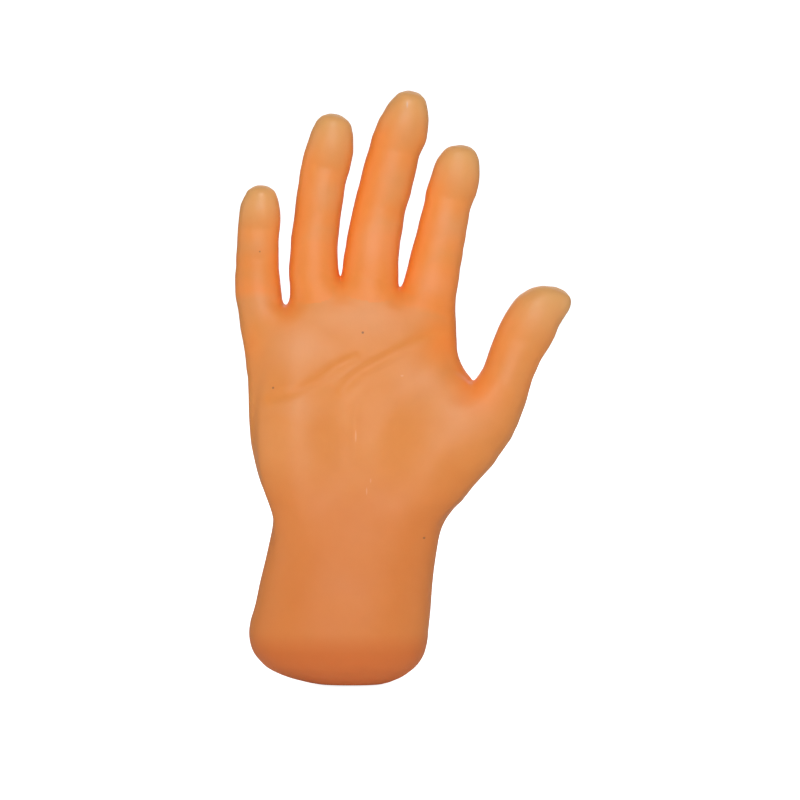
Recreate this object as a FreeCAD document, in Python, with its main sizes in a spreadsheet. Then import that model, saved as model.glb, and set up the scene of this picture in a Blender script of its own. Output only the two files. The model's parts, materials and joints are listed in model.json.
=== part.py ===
# Passive positionable right hand, adult size: friction-hinged links inside a soft cosmetic glove.
#
# Millimetres. Origin at the centre of the wrist hub's mouth, +Z from the wrist to the fingers,
# palm and front facing -Y, back of the hand +Y, thumb and "right" towards +X.
#
#   wrist_hub         threaded hub for a forearm stud; the hand turns on it, held by friction
#   wrist_plate       plate round the hub that carries the palm frame
#   palm_frame        upright plate that carries the knuckle and thumb brackets
#   four fingers      three links each, on pins through tongue-and-fork hinges
#   thumb             an arm that swings across the palm on a barrel hinge, and a tip link
#   glove_*           glove, parted at the hinges with wedge-shaped relief on the palm side
import FreeCAD, Part
import Sketcher
import math
import os

Vector = FreeCAD.Vector
Rotation = FreeCAD.Rotation
Placement = FreeCAD.Placement
DEPTH = Vector(0, 1, 0)
WIDTH = Vector(1, 0, 0)

os.makedirs("parts", exist_ok=True)
doc = FreeCAD.newDocument("positionable_hand")

# ================================================================ driving dimensions
# alias: (value in mm or degrees, note)
DIMENSIONS = {
    "run_gap": (0.06, "radial running clearance of every pin in its moving link"),
    "side_gap": (0.15, "side clearance of a tongue in its fork"),
    "end_gap": (0.45, "clearance between a hinge's round end and the next link"),
    "pin_radius": (1.5, "finger hinge pins"),
    "tongue_w": (4.0, "tongue width"),
    "wall_glove": (2.0, "glove wall"),
    "knuckle_y": (1.0, "depth of the knuckle axes"),
    # wrist
    "hub_bore_r": (5.19, "M12 x 1.5 minor radius"),
    "hub_bore_depth": (20.0, ""),
    "hub_nose_r": (7.0, ""),
    "hub_nose_len": (7.0, ""),
    "hub_flange_r": (13.0, ""),
    "hub_flange_t": (3.0, ""),
    "hub_neck_r": (9.0, ""),
    "hub_len": (26.0, ""),
    "groove_depth": (0.9, ""),
    "ring_t": (1.2, "circlip thickness"),
    "ring_outer_r": (10.9, ""),
    "washer_t": (1.0, ""),
    "washer_outer_r": (12.5, ""),
    "plate_t": (9.0, "wrist plate thickness"),
    "plate_half_x": (27.0, ""),
    "plate_half_y": (15.0, ""),
    "plate_corner": (10.0, ""),
    # palm frame and knuckle brackets
    "frame_t": (3.0, ""),
    "frame_front_y": (2.0, "front face of the palm frame"),
    "bracket_len": (33.0, "from the knuckle axis to the bracket's foot"),
    "bracket_lap": (20.0, "length of bracket lying on the frame"),
    "screw_r": (1.45, "M3 screw shank"),
    "screw_hole_r": (1.55, ""),
    "screw_head_r": (2.75, ""),
    "screw_head_t": (1.6, ""),
    # thumb base hinge
    "thumb_lean": (7.91, "lean of the thumb's base axis from vertical"),
    "thumb_axis_y": (-3.0, ""),
    "thumb_pin_r": (2.5, ""),
    "barrel_r": (5.5, ""),
}

# tip: (x, z); lean: degrees from vertical in the palm plane, towards the thumb
# hinges and flex: distal, middle, knuckle; hinges are distances back from the tip
# fork_w, hinge_r: middle hinge and knuckle; fork_w2, hinge_r2: distal hinge
# shift: sideways shift of the bracket's foot; curl: bend of the centre line towards the palm
# thick: scale on THICKNESS; stub: how far the glove's stub runs below the knuckle
FINGERS = {
    "little": dict(
        tip=(-35.84, 214.61), lean=1.57, hinges=(19.0, 32.5, 46.0), flex=(40.0, 60.0, 55.0),
        fork_w=9.4, hinge_r=3.8, fork_w2=8.6, hinge_r2=3.4,
        shift=6.3, curl=7.5, thick=0.88, stub=22.0),
    "ring": dict(
        tip=(-4.42, 245.15), lean=8.21, hinges=(24.5, 44.3, 64.0), flex=(45.0, 65.0, 60.0),
        fork_w=11.2, hinge_r=4.5, fork_w2=10.0, hinge_r2=4.1,
        shift=0.0, curl=9.5, thick=0.96, stub=36.0),
    "middle": dict(
        tip=(28.01, 255.05), lean=13.06, hinges=(27.5, 52.0, 77.0), flex=(45.0, 65.0, 60.0),
        fork_w=12.5, hinge_r=5.0, fork_w2=10.8, hinge_r2=4.4,
        shift=0.0, curl=10.5, thick=1.0, stub=36.0),
    "index": dict(
        tip=(51.05, 231.85), lean=12.82, hinges=(24.0, 42.0, 59.3), flex=(45.0, 65.0, 60.0),
        fork_w=12.0, hinge_r=4.8, fork_w2=10.4, hinge_r2=4.2,
        shift=0.0, curl=8.5, thick=0.98, stub=28.0),
}
# the thumb has one hinge of its own above the base hinge
THUMB = dict(tip=(87.44, 171.64), lean=23.79, hinge=27.0, fork_w=12.0, hinge_r=4.7, flex=55.0)
DIGITS = {**FINGERS, "thumb": THUMB}

# ---------------------------------------------------------------- outlines of the glove
# Half-breadths of each digit: (distance from the tip, left, right of its straight axis)
BREADTH = {
    "little": [
        (0.4, 2.3, 3.6), (1.5, 3.9, 5.8), (4, 5.85, 7.55), (8.5, 7.95, 8.8),
        (15, 8.7, 9.4), (23, 9.15, 8.8), (31, 9.5, 8.95), (39, 9.8, 9.65),
        (47, 9.45, 10.3), (51, 8.75, 10.6), (59, 7.1, 10.6), (70, 4.8, 10.0),
    ],
    "ring": [
        (0.4, 2.5, 4.3), (1.5, 4.4, 6.25), (4, 6.35, 8.75), (8.5, 8.0, 10.3),
        (15, 9.25, 11.2), (23, 10.25, 10.6), (31, 10.4, 9.7), (43, 10.4, 9.6),
        (55, 10.4, 10.0), (63, 9.7, 11.0), (72, 9.3, 11.0), (95, 8.5, 9.5),
    ],
    "middle": [
        (0.4, 1.8, 5.3), (1.5, 2.95, 7.2), (4, 5.1, 9.1), (8.5, 7.5, 11.0),
        (15, 9.6, 12.15), (19, 10.15, 12.3), (27, 10.85, 10.95), (35, 11.5, 11.1),
        (47, 11.8, 10.65), (59, 11.8, 11.15), (71, 11.25, 12.0), (79, 10.6, 11.8),
        (110, 9.0, 10.0),
    ],
    "index": [
        (0.4, 1.7, 4.8), (1.5, 4.45, 6.4), (4, 7.1, 8.25), (8.5, 9.15, 9.8),
        (15, 9.95, 10.85), (19, 10.35, 10.7), (27, 10.4, 9.75), (35, 10.6, 10.2),
        (47, 11.0, 11.0), (59, 11.3, 11.8), (67, 11.0, 12.2), (90, 9.0, 10.0),
    ],
    "thumb": [
        (0.4, 1.0, 8.5), (1.5, 2.9, 10.9), (4, 5.85, 12.3), (8.5, 9.0, 12.5),
        (15, 10.85, 11.9), (23, 11.7, 11.8), (31, 11.5, 10.8), (39, 10.9, 10.8),
        (47, 11.7, 11.9), (55, 16.0, 12.6), (63, 20.0, 12.8), (71, 22.0, 11.8),
        (79, 20.0, 10.4), (87, 14.0, 8.6), (94, 7.0, 5.5),
    ],
}
# (distance from the tip, half-thickness) of a full-size finger
THICKNESS = [
    (0.4, 2.3), (1.5, 4.3), (4, 6.2), (8.5, 7.5), (15, 8.1), (23, 8.0),
    (31, 8.3), (43, 8.8), (59, 9.3), (80, 9.8), (110, 9.8),
]
# (distance from the tip, half-thickness) of the thumb
THUMB_THICKNESS = [
    (0.4, 2.6), (1.5, 4.3), (4, 6.2), (8.5, 7.6), (15, 8.5), (23, 8.6), (31, 8.8), (39, 9.4),
    (47, 10.4), (55, 12.2), (63, 13.8), (71, 15.0), (79, 15.4), (87, 14.0), (94, 9.0),
]
# (distance from the tip, y) of the thumb's centre line
THUMB_DEPTH = [(0.4, -8.0), (23, -6.0), (47, -3.5), (71, -3.0), (94, -1.0)]
# Palm and wrist: (z, left edge x, right edge x, half-thickness, centre y)
PALM = [
    (0.15, -8.0, 13.0, 7.5, 0.0), (1.2, -15.5, 19.8, 11.5, 0.0),
    (3.4, -23.6, 24.6, 14.9, 0.0), (6.5, -30.8, 29.2, 18.3, 0.0),
    (10.6, -35.7, 33.1, 21.1, 0.0), (15.8, -39.1, 35.2, 23.2, 0.0),
    (22.0, -40.4, 36.2, 24.2, 0.0), (36.4, -37.4, 37.4, 23.4, 0.0),
    (51.9, -33.6, 39.1, 21.2, 0.0), (64.8, -31.0, 40.9, 18.8, 0.3),
    (72.5, -30.3, 43.0, 17.6, 0.3), (85.4, -34.8, 51.0, 16.4, 0.2),
    (100.9, -39.1, 55.0, 15.4, 0.0), (116.4, -40.4, 56.5, 14.8, 0.0),
    (129.3, -40.9, 55.0, 14.3, 0.3), (142.2, -41.7, 49.2, 13.6, 0.6),
    (155.1, -44.3, 47.7, 12.6, 0.8), (163.5, -45.0, 47.6, 11.0, 1.0),
    (167.5, -43.0, 46.0, 8.6, 1.0),
]
TIP_STATION = 0.4  # first glove section, just behind the tip


# ================================================================ bound numbers
class Bound:
    """A number together with the spreadsheet expression it comes from."""

    def __init__(self, number, expression):
        self.number = float(number)
        self.expression = expression

    @staticmethod
    def of(value):
        return value if isinstance(value, Bound) else Bound(value, repr(float(value)))

    def __add__(self, other):
        other = Bound.of(other)
        return Bound(self.number + other.number, f"({self.expression} + {other.expression})")

    def __sub__(self, other):
        other = Bound.of(other)
        return Bound(self.number - other.number, f"({self.expression} - {other.expression})")

    def __mul__(self, other):
        other = Bound.of(other)
        return Bound(self.number * other.number, f"({self.expression} * {other.expression})")

    def __truediv__(self, other):
        other = Bound.of(other)
        return Bound(self.number / other.number, f"({self.expression} / {other.expression})")

    def __neg__(self):
        return Bound(-self.number, f"(0 - {self.expression})")


def size(alias):
    """Plain number of a dimension."""
    return DIMENSIONS[alias][0]


def dim(alias):
    """Dimension that stays bound to its spreadsheet cell."""
    return Bound(size(alias), "dims." + alias)


# ================================================================ digit geometry
def interpolate(table, station, column=1):
    if station <= table[0][0]:
        return table[0][column]
    for low, high in zip(table, table[1:]):
        if station <= high[0]:
            share = (station - low[0]) / (high[0] - low[0])
            return low[column] + share * (high[column] - low[column])
    return table[-1][column]


def lean_axes(lean):
    """Directions along and across a line that leans towards the thumb."""
    angle = math.radians(lean)
    return (Vector(math.sin(angle), 0, math.cos(angle)),
            Vector(math.cos(angle), 0, -math.sin(angle)))


def digit_axes(digit):
    return lean_axes(DIGITS[digit]["lean"])


def centre_depth(digit, station):
    """Y of a digit's centre line; a finger curls towards the palm from knuckle to tip."""
    if digit == "thumb":
        return interpolate(THUMB_DEPTH, station)
    finger = FINGERS[digit]
    share = max(0.0, 1 - station / finger["hinges"][2])
    return size("knuckle_y") - finger["curl"] * share ** 1.6


def digit_point(digit, station):
    """Centre-line point of a digit, station mm back from its tip."""
    x, z = DIGITS[digit]["tip"]
    along = digit_axes(digit)[0]
    return Vector(x, 0, z) - along * station + Vector(0, centre_depth(digit, station), 0)


def half_thickness(digit, station):
    if digit == "thumb":
        return interpolate(THUMB_THICKNESS, station)
    return interpolate(THICKNESS, station) * FINGERS[digit]["thick"]


def frame_of(origin, z_direction, x_direction):
    """Placement with local Z along z_direction and local X close to x_direction."""
    z = Vector(z_direction).normalize()
    x = Vector(x_direction)
    x = (x - z * x.dot(z)).normalize()
    y = z.cross(x)
    return Placement(FreeCAD.Matrix(
        x.x, y.x, z.x, origin.x,
        x.y, y.y, z.y, origin.y,
        x.z, y.z, z.z, origin.z,
        0, 0, 0, 1))


def at(x, y, z):
    return Placement(Vector(x, y, z), Rotation())


def local(place, x, y, z, rotation=Rotation()):
    """Placement given inside another placement."""
    return place.multiply(Placement(Vector(x, y, z), rotation))


# ---------------------------------------------------------------- sizes of the links
LINKS = {}  # node: (digit, lower hinge point, upper hinge or tip point, is it a fingertip)
LINK_AIR = 1.2  # between a link and the glove's inside
HINGE_MARGIN = 0.5


def plan_link(node, digit, lower, upper, hinge_radius, is_tip=False):
    """Adds a link's dimensions; its block takes the digit's smallest section, inside the glove."""
    start, end = digit_point(digit, lower), digit_point(digit, upper)
    LINKS[node] = (digit, start, end, is_tip)
    margin = hinge_radius + HINGE_MARGIN
    near = lower * 0.38 if is_tip else upper + margin
    far = lower - margin
    stations = [near + (far - near) * i / 8 for i in range(9)]
    inset = size("wall_glove") + LINK_AIR
    sizes = {
        "len": lower - 1.0 if is_tip else (end - start).Length,
        "left": min(interpolate(BREADTH[digit], s, 1) for s in stations) - inset,
        "right": min(interpolate(BREADTH[digit], s, 2) for s in stations) - inset,
        "thick": min(half_thickness(digit, s) for s in stations) - inset,
    }
    for key, value in sizes.items():
        DIMENSIONS[f"{node}_{key}"] = (round(value, 2), "")


for name, finger in FINGERS.items():
    DIMENSIONS[f"{name}_fork_w"] = (finger["fork_w"], "")
    DIMENSIONS[f"{name}_hinge_r"] = (finger["hinge_r"], "")
    DIMENSIONS[f"{name}_distal_fork_w"] = (finger["fork_w2"], "")
    DIMENSIONS[f"{name}_distal_hinge_r"] = (finger["hinge_r2"], "")
    distal, middle, knuckle = finger["hinges"]
    radius = finger["hinge_r"]
    plan_link(f"proximal_link_{name}", name, knuckle, middle, radius)
    plan_link(f"middle_link_{name}", name, middle, distal, radius)
    plan_link(f"distal_link_{name}", name, distal, TIP_STATION, radius, is_tip=True)
plan_link("thumb_tip_link", "thumb", THUMB["hinge"], TIP_STATION, THUMB["hinge_r"], is_tip=True)
DIMENSIONS["thumb_fork_w"] = (THUMB["fork_w"], "")
DIMENSIONS["thumb_hinge_r"] = (THUMB["hinge_r"], "")

sheet = doc.addObject("Spreadsheet::Sheet", "dims")
for row, (alias, (value, note)) in enumerate(DIMENSIONS.items(), start=1):
    sheet.set(f"A{row}", note or alias)
    sheet.set(f"B{row}", repr(float(value)))
    sheet.setAlias(f"B{row}", alias)
doc.recompute()

# ================================================================ modelling helpers
PARTS = {}  # node: object, in the order of export


def keep(obj, node):
    if node in PARTS:
        raise RuntimeError(f"{node} is made twice")
    obj.Label = node
    PARTS[node] = obj
    return obj


def new_body(node):
    return doc.addObject("PartDesign::Body", node)


def new_sketch(body, plane, offset=None):
    """Sketch on XY, XZ or YZ. XZ's normal is -Y, so a positive offset lies in front."""
    planes = {origin.Role: origin for origin in body.Origin.OriginFeatures}
    sketch = body.newObject("Sketcher::SketchObject", "Sketch")
    sketch.AttachmentSupport = [(planes[plane + "_Plane"], "")]
    sketch.MapMode = "FlatFace"
    if offset is not None:
        offset = Bound.of(offset)
        sketch.AttachmentOffset = at(0, 0, offset.number)
        sketch.setExpression("AttachmentOffset.Base.z", offset.expression)
    return sketch


def bind_constraint(sketch, index, suffix, bound):
    name = f"c{index}_{suffix}"
    sketch.renameConstraint(index, name)
    sketch.setExpression("Constraints." + name, bound.expression)


def pin_point(sketch, geometry, position, x, y):
    """Ties a point to the sketch's origin with signed distances."""
    x, y = Bound.of(x), Bound.of(y)
    if abs(x.number) < 1e-9 and abs(y.number) < 1e-9:
        sketch.addConstraint(Sketcher.Constraint("Coincident", geometry, position, -1, 1))
        return
    for kind, bound, axis in (("DistanceX", x, -2), ("DistanceY", y, -1)):
        if abs(bound.number) < 1e-9:
            sketch.addConstraint(
                Sketcher.Constraint("PointOnObject", geometry, position, axis))
        else:
            index = sketch.addConstraint(
                Sketcher.Constraint(kind, -1, 1, geometry, position, bound.number))
            bind_constraint(sketch, index, kind[-1], bound)


def polygon(sketch, points):
    first = sketch.GeometryCount
    points = [(Bound.of(x), Bound.of(y)) for x, y in points]
    corners = [Vector(x.number, y.number, 0) for x, y in points]
    count = len(points)
    for i in range(count):
        edge = Part.LineSegment(corners[i], corners[(i + 1) % count])
        sketch.addGeometry(edge, False)
    for i in range(count):
        following = first + (i + 1) % count
        sketch.addConstraint(Sketcher.Constraint("Coincident", first + i, 2, following, 1))
    for i in range(count):
        pin_point(sketch, first + i, 1, *points[i])
    return sketch


def rectangle(sketch, x0, x1, y0, y1):
    return polygon(sketch, [(x0, y0), (x1, y0), (x1, y1), (x0, y1)])


def octagon(sketch, left, right, thick, inner, outer_x=1.0, outer_y=1.0):
    """Eight-sided section; inner and outer are shares of the half-sizes."""
    return polygon(sketch, [
        (-left * outer_x, -thick * inner), (-left * inner, -thick * outer_y),
        (right * inner, -thick * outer_y), (right * outer_x, -thick * inner),
        (right * outer_x, thick * inner), (right * inner, thick * outer_y),
        (-left * inner, thick * outer_y), (-left * outer_x, thick * inner),
    ])


def circle(sketch, radius, x=0.0, y=0.0):
    radius = Bound.of(radius)
    centre = Vector(Bound.of(x).number, Bound.of(y).number, 0)
    ring = Part.Circle(centre, Vector(0, 0, 1), radius.number)
    geometry = sketch.addGeometry(ring, False)
    pin_point(sketch, geometry, 3, x, y)
    index = sketch.addConstraint(Sketcher.Constraint("Radius", geometry, radius.number))
    bind_constraint(sketch, index, "r", radius)
    return sketch


def circles(sketch, radius, centres):
    for x, y in centres:
        circle(sketch, radius, x, y)
    return sketch


def pad(body, sketch, length, symmetric=False, flip=False):
    length = Bound.of(length)
    feature = body.newObject("PartDesign::Pad", "Pad")
    feature.Profile = sketch
    feature.SideType = "Symmetric" if symmetric else "One side"
    feature.Length = length.number
    feature.setExpression("Length", length.expression)
    feature.Reversed = flip
    doc.recompute()
    body.Tip = feature


def pocket(body, sketch, length=None, flip=False):
    """Cuts through all both ways, or one way to a depth; raises if nothing was cut."""
    before = body.Shape.Volume
    feature = body.newObject("PartDesign::Pocket", "Pocket")
    feature.Profile = sketch
    if length is None:
        feature.SideType = "Symmetric"
        feature.Type = "ThroughAll"
    else:
        length = Bound.of(length)
        feature.SideType = "One side"
        feature.Type = "Length"
        feature.Length = length.number
        feature.setExpression("Length", length.expression)
        feature.Reversed = flip
    doc.recompute()
    body.Tip = feature
    if not feature.Shape.Volume < before - 1e-6:
        raise RuntimeError(f"{body.Label}: a pocket cut nothing")


def primitive(kind, name, place, **lengths):
    solid = doc.addObject(kind, name)
    for prop, value in lengths.items():
        value = Bound.of(value)
        setattr(solid, prop, value.number)
        solid.setExpression(prop, value.expression)
    solid.Placement = place
    return solid


def cylinder(name, radius, height, place):
    return primitive("Part::Cylinder", name, place, Radius=radius, Height=height)


def box(name, x, y, z, place):
    return primitive("Part::Box", name, place, Length=x, Width=y, Height=z)


def group(node, objects):
    compound = doc.addObject("Part::Compound", node)
    compound.Links = objects
    return keep(compound, node)


def fuse(name, objects):
    fusion = doc.addObject("Part::MultiFuse", name)
    fusion.Shapes = objects
    return fusion


def cut(name, base, tool):
    difference = doc.addObject("Part::Cut", name)
    difference.Base, difference.Tool = base, tool
    return difference


# ================================================================ wrist
z_flange = dim("hub_nose_len")
z_neck = z_flange + dim("hub_flange_t")
z_plate = z_neck + dim("washer_t")
z_thrust = z_plate + dim("plate_t")  # top face of the wrist plate
z_ring = z_thrust + dim("washer_t") + 0.1

FOOT_SCREWS = [(-19.5, 9.5), (19.5, 9.5)]  # (x, y) of the screws in the frame's feet
FOOT_T = 3.0


def wrist_hub():
    bore, nose, flange = dim("hub_bore_r"), dim("hub_nose_r"), dim("hub_flange_r")
    neck = dim("hub_neck_r")
    groove = neck - dim("groove_depth")
    groove_top = z_ring + dim("ring_t") + 0.1
    body = new_body("wrist_hub")
    sketch = polygon(new_sketch(body, "XZ"), [
        (bore, 0), (nose, 0), (nose, z_flange), (flange, z_flange), (flange, z_neck),
        (neck, z_neck), (neck, z_ring), (groove, z_ring), (groove, groove_top),
        (neck, groove_top), (neck, dim("hub_len")), (0.0, dim("hub_len")),
        (0.0, dim("hub_bore_depth")), (bore, dim("hub_bore_depth")),
    ])
    turned = body.newObject("PartDesign::Revolution", "Turned")
    turned.Profile = sketch
    turned.ReferenceAxis = (sketch, ["V_Axis"])
    turned.Angle = 360
    doc.recompute()
    body.Tip = turned
    keep(body, "wrist_hub")


def hub_washer(node, z):
    body = new_body(node)
    sketch = circle(new_sketch(body, "XY"), dim("washer_outer_r"))
    circle(sketch, dim("hub_neck_r") + 0.1)
    pad(body, sketch, dim("washer_t"))
    body.Placement = at(0, 0, z.number)
    keep(body, node)


def retaining_ring():
    """Ring in the hub's groove, open towards the back."""
    half_opening = 3.0
    body = new_body("retaining_ring")
    sketch = circle(new_sketch(body, "XY"), dim("ring_outer_r"))
    circle(sketch, dim("hub_neck_r") - dim("groove_depth") + 0.05)
    pad(body, sketch, dim("ring_t"))
    pocket(body, rectangle(
        new_sketch(body, "XY"), -half_opening, half_opening, 2.0, dim("ring_outer_r") + 2))
    body.Placement = at(0, 0, z_ring.number + 0.05)
    keep(body, "retaining_ring")


def wrist_plate():
    half_x, half_y, corner = dim("plate_half_x"), dim("plate_half_y"), dim("plate_corner")
    body = new_body("wrist_plate")
    pad(body, polygon(new_sketch(body, "XY"), [
        (-half_x + corner, -half_y), (half_x - corner, -half_y),
        (half_x, -half_y + corner), (half_x, half_y - corner),
        (half_x - corner, half_y), (-half_x + corner, half_y),
        (-half_x, half_y - corner), (-half_x, -half_y + corner),
    ]), dim("plate_t"))
    pocket(body, circle(new_sketch(body, "XY"), dim("hub_neck_r") + dim("run_gap")))
    pocket(body, circles(new_sketch(body, "XY"), dim("screw_hole_r"), FOOT_SCREWS))
    body.Placement = at(0, 0, z_plate.number)
    keep(body, "wrist_plate")


wrist_hub()
hub_washer("friction_washer", z_neck)
hub_washer("thrust_washer", z_thrust)
retaining_ring()
wrist_plate()

# ================================================================ palm frame and knuckles
# (x, z) round the upright plate
FRAME_OUTLINE = [
    (-24.0, z_thrust), (24.0, z_thrust), (24.0, 60.0), (33.0, 84.0), (43.0, 96.0),
    (45.5, 122.0), (41.0, 132.0), (40.0, 158.0), (27.0, 158.0), (26.5, 159.5),
    (-21.5, 159.5), (-23.0, 154.0), (-38.0, 154.0), (-35.5, 128.0), (-34.0, 101.0),
    (-24.0, 80.0), (-23.0, 60.0),
]
# (x, z, radius)
LIGHTENING_HOLES = [
    (0.0, 92.0, 10.0), (-20.0, 108.0, 7.0), (20.0, 108.0, 7.0),
    (0.0, 118.0, 7.0), (0.0, 62.0, 9.0),
]
BRACKET_SCREWS = (-27.5, -19.0)  # along the finger, from the knuckle axis
THUMB_SCREWS = [(35.0, 102.0), (38.0, 117.0)]  # (x, z) of the thumb bracket's screws
FRAME_BACK = size("frame_front_y") + size("frame_t")
PRESS_FIT = 0.01  # added to a pin's radius where the pin is fixed
PIN_SHORT = 0.4  # a hinge pin is this much shorter than its fork is wide
DISC_T = 0.45


def knuckle_point(name):
    return digit_point(name, FINGERS[name]["hinges"][2])


def bracket_screw_sites():
    """(x, z, y under the head) of every knuckle bracket screw."""
    sites = []
    for name, finger in FINGERS.items():
        along, across = digit_axes(name)
        knuckle = knuckle_point(name)
        for z in BRACKET_SCREWS:
            point = knuckle + along * z + across * finger["shift"]
            sites.append((point.x, point.z, knuckle.y - finger["hinge_r"]))
    return sites


def palm_frame():
    """Upright plate on two feet that turn towards the back and lie on the wrist plate."""
    hub_room_half, hub_room_top = 14.0, 40.0
    foot_inner, foot_outer, foot_reach = 14.5, 24.0, 8.5
    front = dim("frame_front_y")
    hole = dim("screw_hole_r")
    body = new_body("palm_frame")
    pad(body, polygon(new_sketch(body, "XZ", -front), FRAME_OUTLINE), dim("frame_t"), flip=True)
    pocket(body, rectangle(
        new_sketch(body, "XZ"), -hub_room_half, hub_room_half, z_thrust - 1.0, hub_room_top))
    sketch = new_sketch(body, "XZ")
    for x, z, radius in LIGHTENING_HOLES:
        circle(sketch, radius, x, z)
    pocket(body, sketch)
    sketch = new_sketch(body, "XY", z_thrust)
    for side in (-1, 1):
        rectangle(sketch, foot_inner * side, foot_outer * side,
                  front, front + dim("frame_t") + foot_reach)
    pad(body, sketch, FOOT_T)
    pocket(body, circles(new_sketch(body, "XY"), hole, FOOT_SCREWS), 30.0, flip=True)
    centres = [(x, z) for x, z, _ in bracket_screw_sites()] + THUMB_SCREWS
    pocket(body, circles(new_sketch(body, "XZ"), hole, centres))
    keep(body, "palm_frame")


def knuckle_bracket(name):
    """Fork at the knuckle and a foot on the frame. Local origin on the knuckle axis,
    X across the finger and Z along it."""
    shift = FINGERS[name]["shift"]
    width, radius = dim(f"{name}_fork_w"), dim(f"{name}_hinge_r")
    foot_bottom = -dim("bracket_len")
    foot_top = -(dim("bracket_len") - dim("bracket_lap"))
    frame_face = dim("frame_front_y") - dim("knuckle_y")
    half_slot = dim("tongue_w") / 2 + dim("side_gap") + 0.5
    body = new_body(f"knuckle_bracket_{name}")
    pad(body, circle(new_sketch(body, "YZ"), radius), width, symmetric=True)
    pad(body, rectangle(new_sketch(body, "YZ"), -radius, radius, foot_top, -1.0),
        width, symmetric=True)
    pad(body, rectangle(
        new_sketch(body, "XZ", radius),
        -width / 2 + shift, width / 2 + shift, foot_bottom, foot_top + 1.0,
    ), frame_face + radius, flip=True)
    if shift:
        # corner taken off on the side away from the shift
        outside = -width / 2 - 1.0
        pocket(body, polygon(new_sketch(body, "XZ"), [
            (outside, -2.5), (outside, foot_top - 0.5), (-width / 2 + 4.5, foot_top - 0.5)]))
    pocket(body, rectangle(
        new_sketch(body, "XZ"), -half_slot, half_slot, -(radius + dim("end_gap")), radius + 1.0))
    pocket(body, circle(new_sketch(body, "YZ"), dim("pin_radius") + PRESS_FIT))
    pocket(body, circles(
        new_sketch(body, "XZ"), dim("screw_hole_r"), [(shift, z) for z in BRACKET_SCREWS]))
    body.Placement = frame_of(knuckle_point(name), *digit_axes(name))
    keep(body, f"knuckle_bracket_{name}")


def palm_screw(x, z, head_y):
    """Screw along Y: head in front of head_y, shank to the back of the palm frame."""
    turn = Rotation(WIDTH, -90)  # local Z to +Y
    head = cylinder("head", dim("screw_head_r"), dim("screw_head_t"),
                    Placement(Vector(x, head_y - size("screw_head_t"), z), turn))
    shank = cylinder("shank", dim("screw_r"), FRAME_BACK - head_y + 0.01,
                     Placement(Vector(x, head_y - 0.01, z), turn))
    return fuse("screw", [head, shank])


def foot_screw(x, y):
    """Screw down through a foot into the wrist plate."""
    top = z_thrust.number + FOOT_T
    shank_len = FOOT_T + size("plate_t") - 1.0
    head = cylinder("head", dim("screw_head_r"), dim("screw_head_t"), at(x, y, top))
    shank = cylinder("shank", dim("screw_r"), shank_len, at(x, y, top - shank_len))
    return fuse("screw", [head, shank])


def friction_disc(base, axis, x_direction, radius, pin_radius):
    disc = cylinder("disc", radius, DISC_T, frame_of(base, axis, x_direction))
    hole = cylinder("hole", pin_radius + 0.05, 3.0, frame_of(base - axis, axis, x_direction))
    return cut("washer", disc, hole)


def knuckle_pin(name):
    across = digit_axes(name)[1]
    start = knuckle_point(name) - across * (size(f"{name}_fork_w") / 2 - PIN_SHORT / 2)
    return cylinder(f"pin_{name}", dim("pin_radius"), dim(f"{name}_fork_w") - PIN_SHORT,
                    frame_of(start, across, DEPTH))


def knuckle_discs(name):
    """One friction disc on each side of the knuckle's tongue."""
    across = digit_axes(name)[1]
    face = size("tongue_w") / 2 + size("side_gap") / 2
    radius = FINGERS[name]["hinge_r"] - 0.6
    return [
        friction_disc(knuckle_point(name) + across * start, across, DEPTH,
                      radius, size("pin_radius"))
        for start in (-(face + DISC_T), face)
    ]


palm_frame()
for name in FINGERS:
    knuckle_bracket(name)
group("knuckle_screws", [palm_screw(*site) for site in bracket_screw_sites()])
group("knuckle_pins", [knuckle_pin(name) for name in FINGERS])
group("friction_discs", [disc for name in FINGERS for disc in knuckle_discs(name)])
group("frame_screws", [foot_screw(x, y) for x, y in FOOT_SCREWS])


# ================================================================ finger links
def link(node, fork_width, fork_radius, tongue_radius):
    """Link between two hinges, or a fingertip's core. Local Z runs towards the tip and X is
    the lower hinge's axis; the fork is at the upper end."""
    digit, start, end, is_tip = LINKS[node]
    length, left, right, thick = (
        dim(f"{node}_{key}") for key in ("len", "left", "right", "thick"))
    tongue_width = dim("tongue_w")
    block_bottom = tongue_radius + dim("end_gap")
    block_top = length * 0.62 if is_tip else length - fork_radius - dim("end_gap")
    body = new_body(node)
    # tongue, and the web that joins it to the block
    pad(body, circle(new_sketch(body, "YZ"), tongue_radius), tongue_width, symmetric=True)
    pad(body, rectangle(
        new_sketch(body, "YZ"), -tongue_radius, tongue_radius, 0.0, block_bottom + 0.5,
    ), tongue_width, symmetric=True)
    # block inside the glove
    pad(body, octagon(new_sketch(body, "XY", block_bottom), left, right, thick, inner=0.38),
        block_top - block_bottom)
    if is_tip:
        # blunt nose
        pad(body, octagon(
            new_sketch(body, "XY", block_top - 0.2), left, right, thick,
            inner=0.3, outer_x=0.6, outer_y=0.62,
        ), length * 0.82 - block_top)
    else:
        add_fork(body, length, fork_width, fork_radius, block_top)
    # palm-side corners taken off so that the hinges can close
    outside = -thick - 3.0

    def corner_height(radius):
        return (thick + 3.0 - radius * 0.8) * 0.75

    corners = [[
        (outside, block_bottom - 1.0), (-tongue_radius * 0.8, block_bottom - 0.01),
        (outside, block_bottom + corner_height(tongue_radius)),
    ]]
    if not is_tip:
        corners.append([
            (outside, block_top + 1.0), (-fork_radius * 0.8, block_top + 0.01),
            (outside, block_top - corner_height(fork_radius)),
        ])
    for corner in corners:
        pocket(body, polygon(new_sketch(body, "YZ"), corner))
    pocket(body, circle(new_sketch(body, "YZ"), dim("pin_radius") + dim("run_gap")))
    body.Placement = frame_of(start, end - start, digit_axes(digit)[1])
    keep(body, node)


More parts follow.
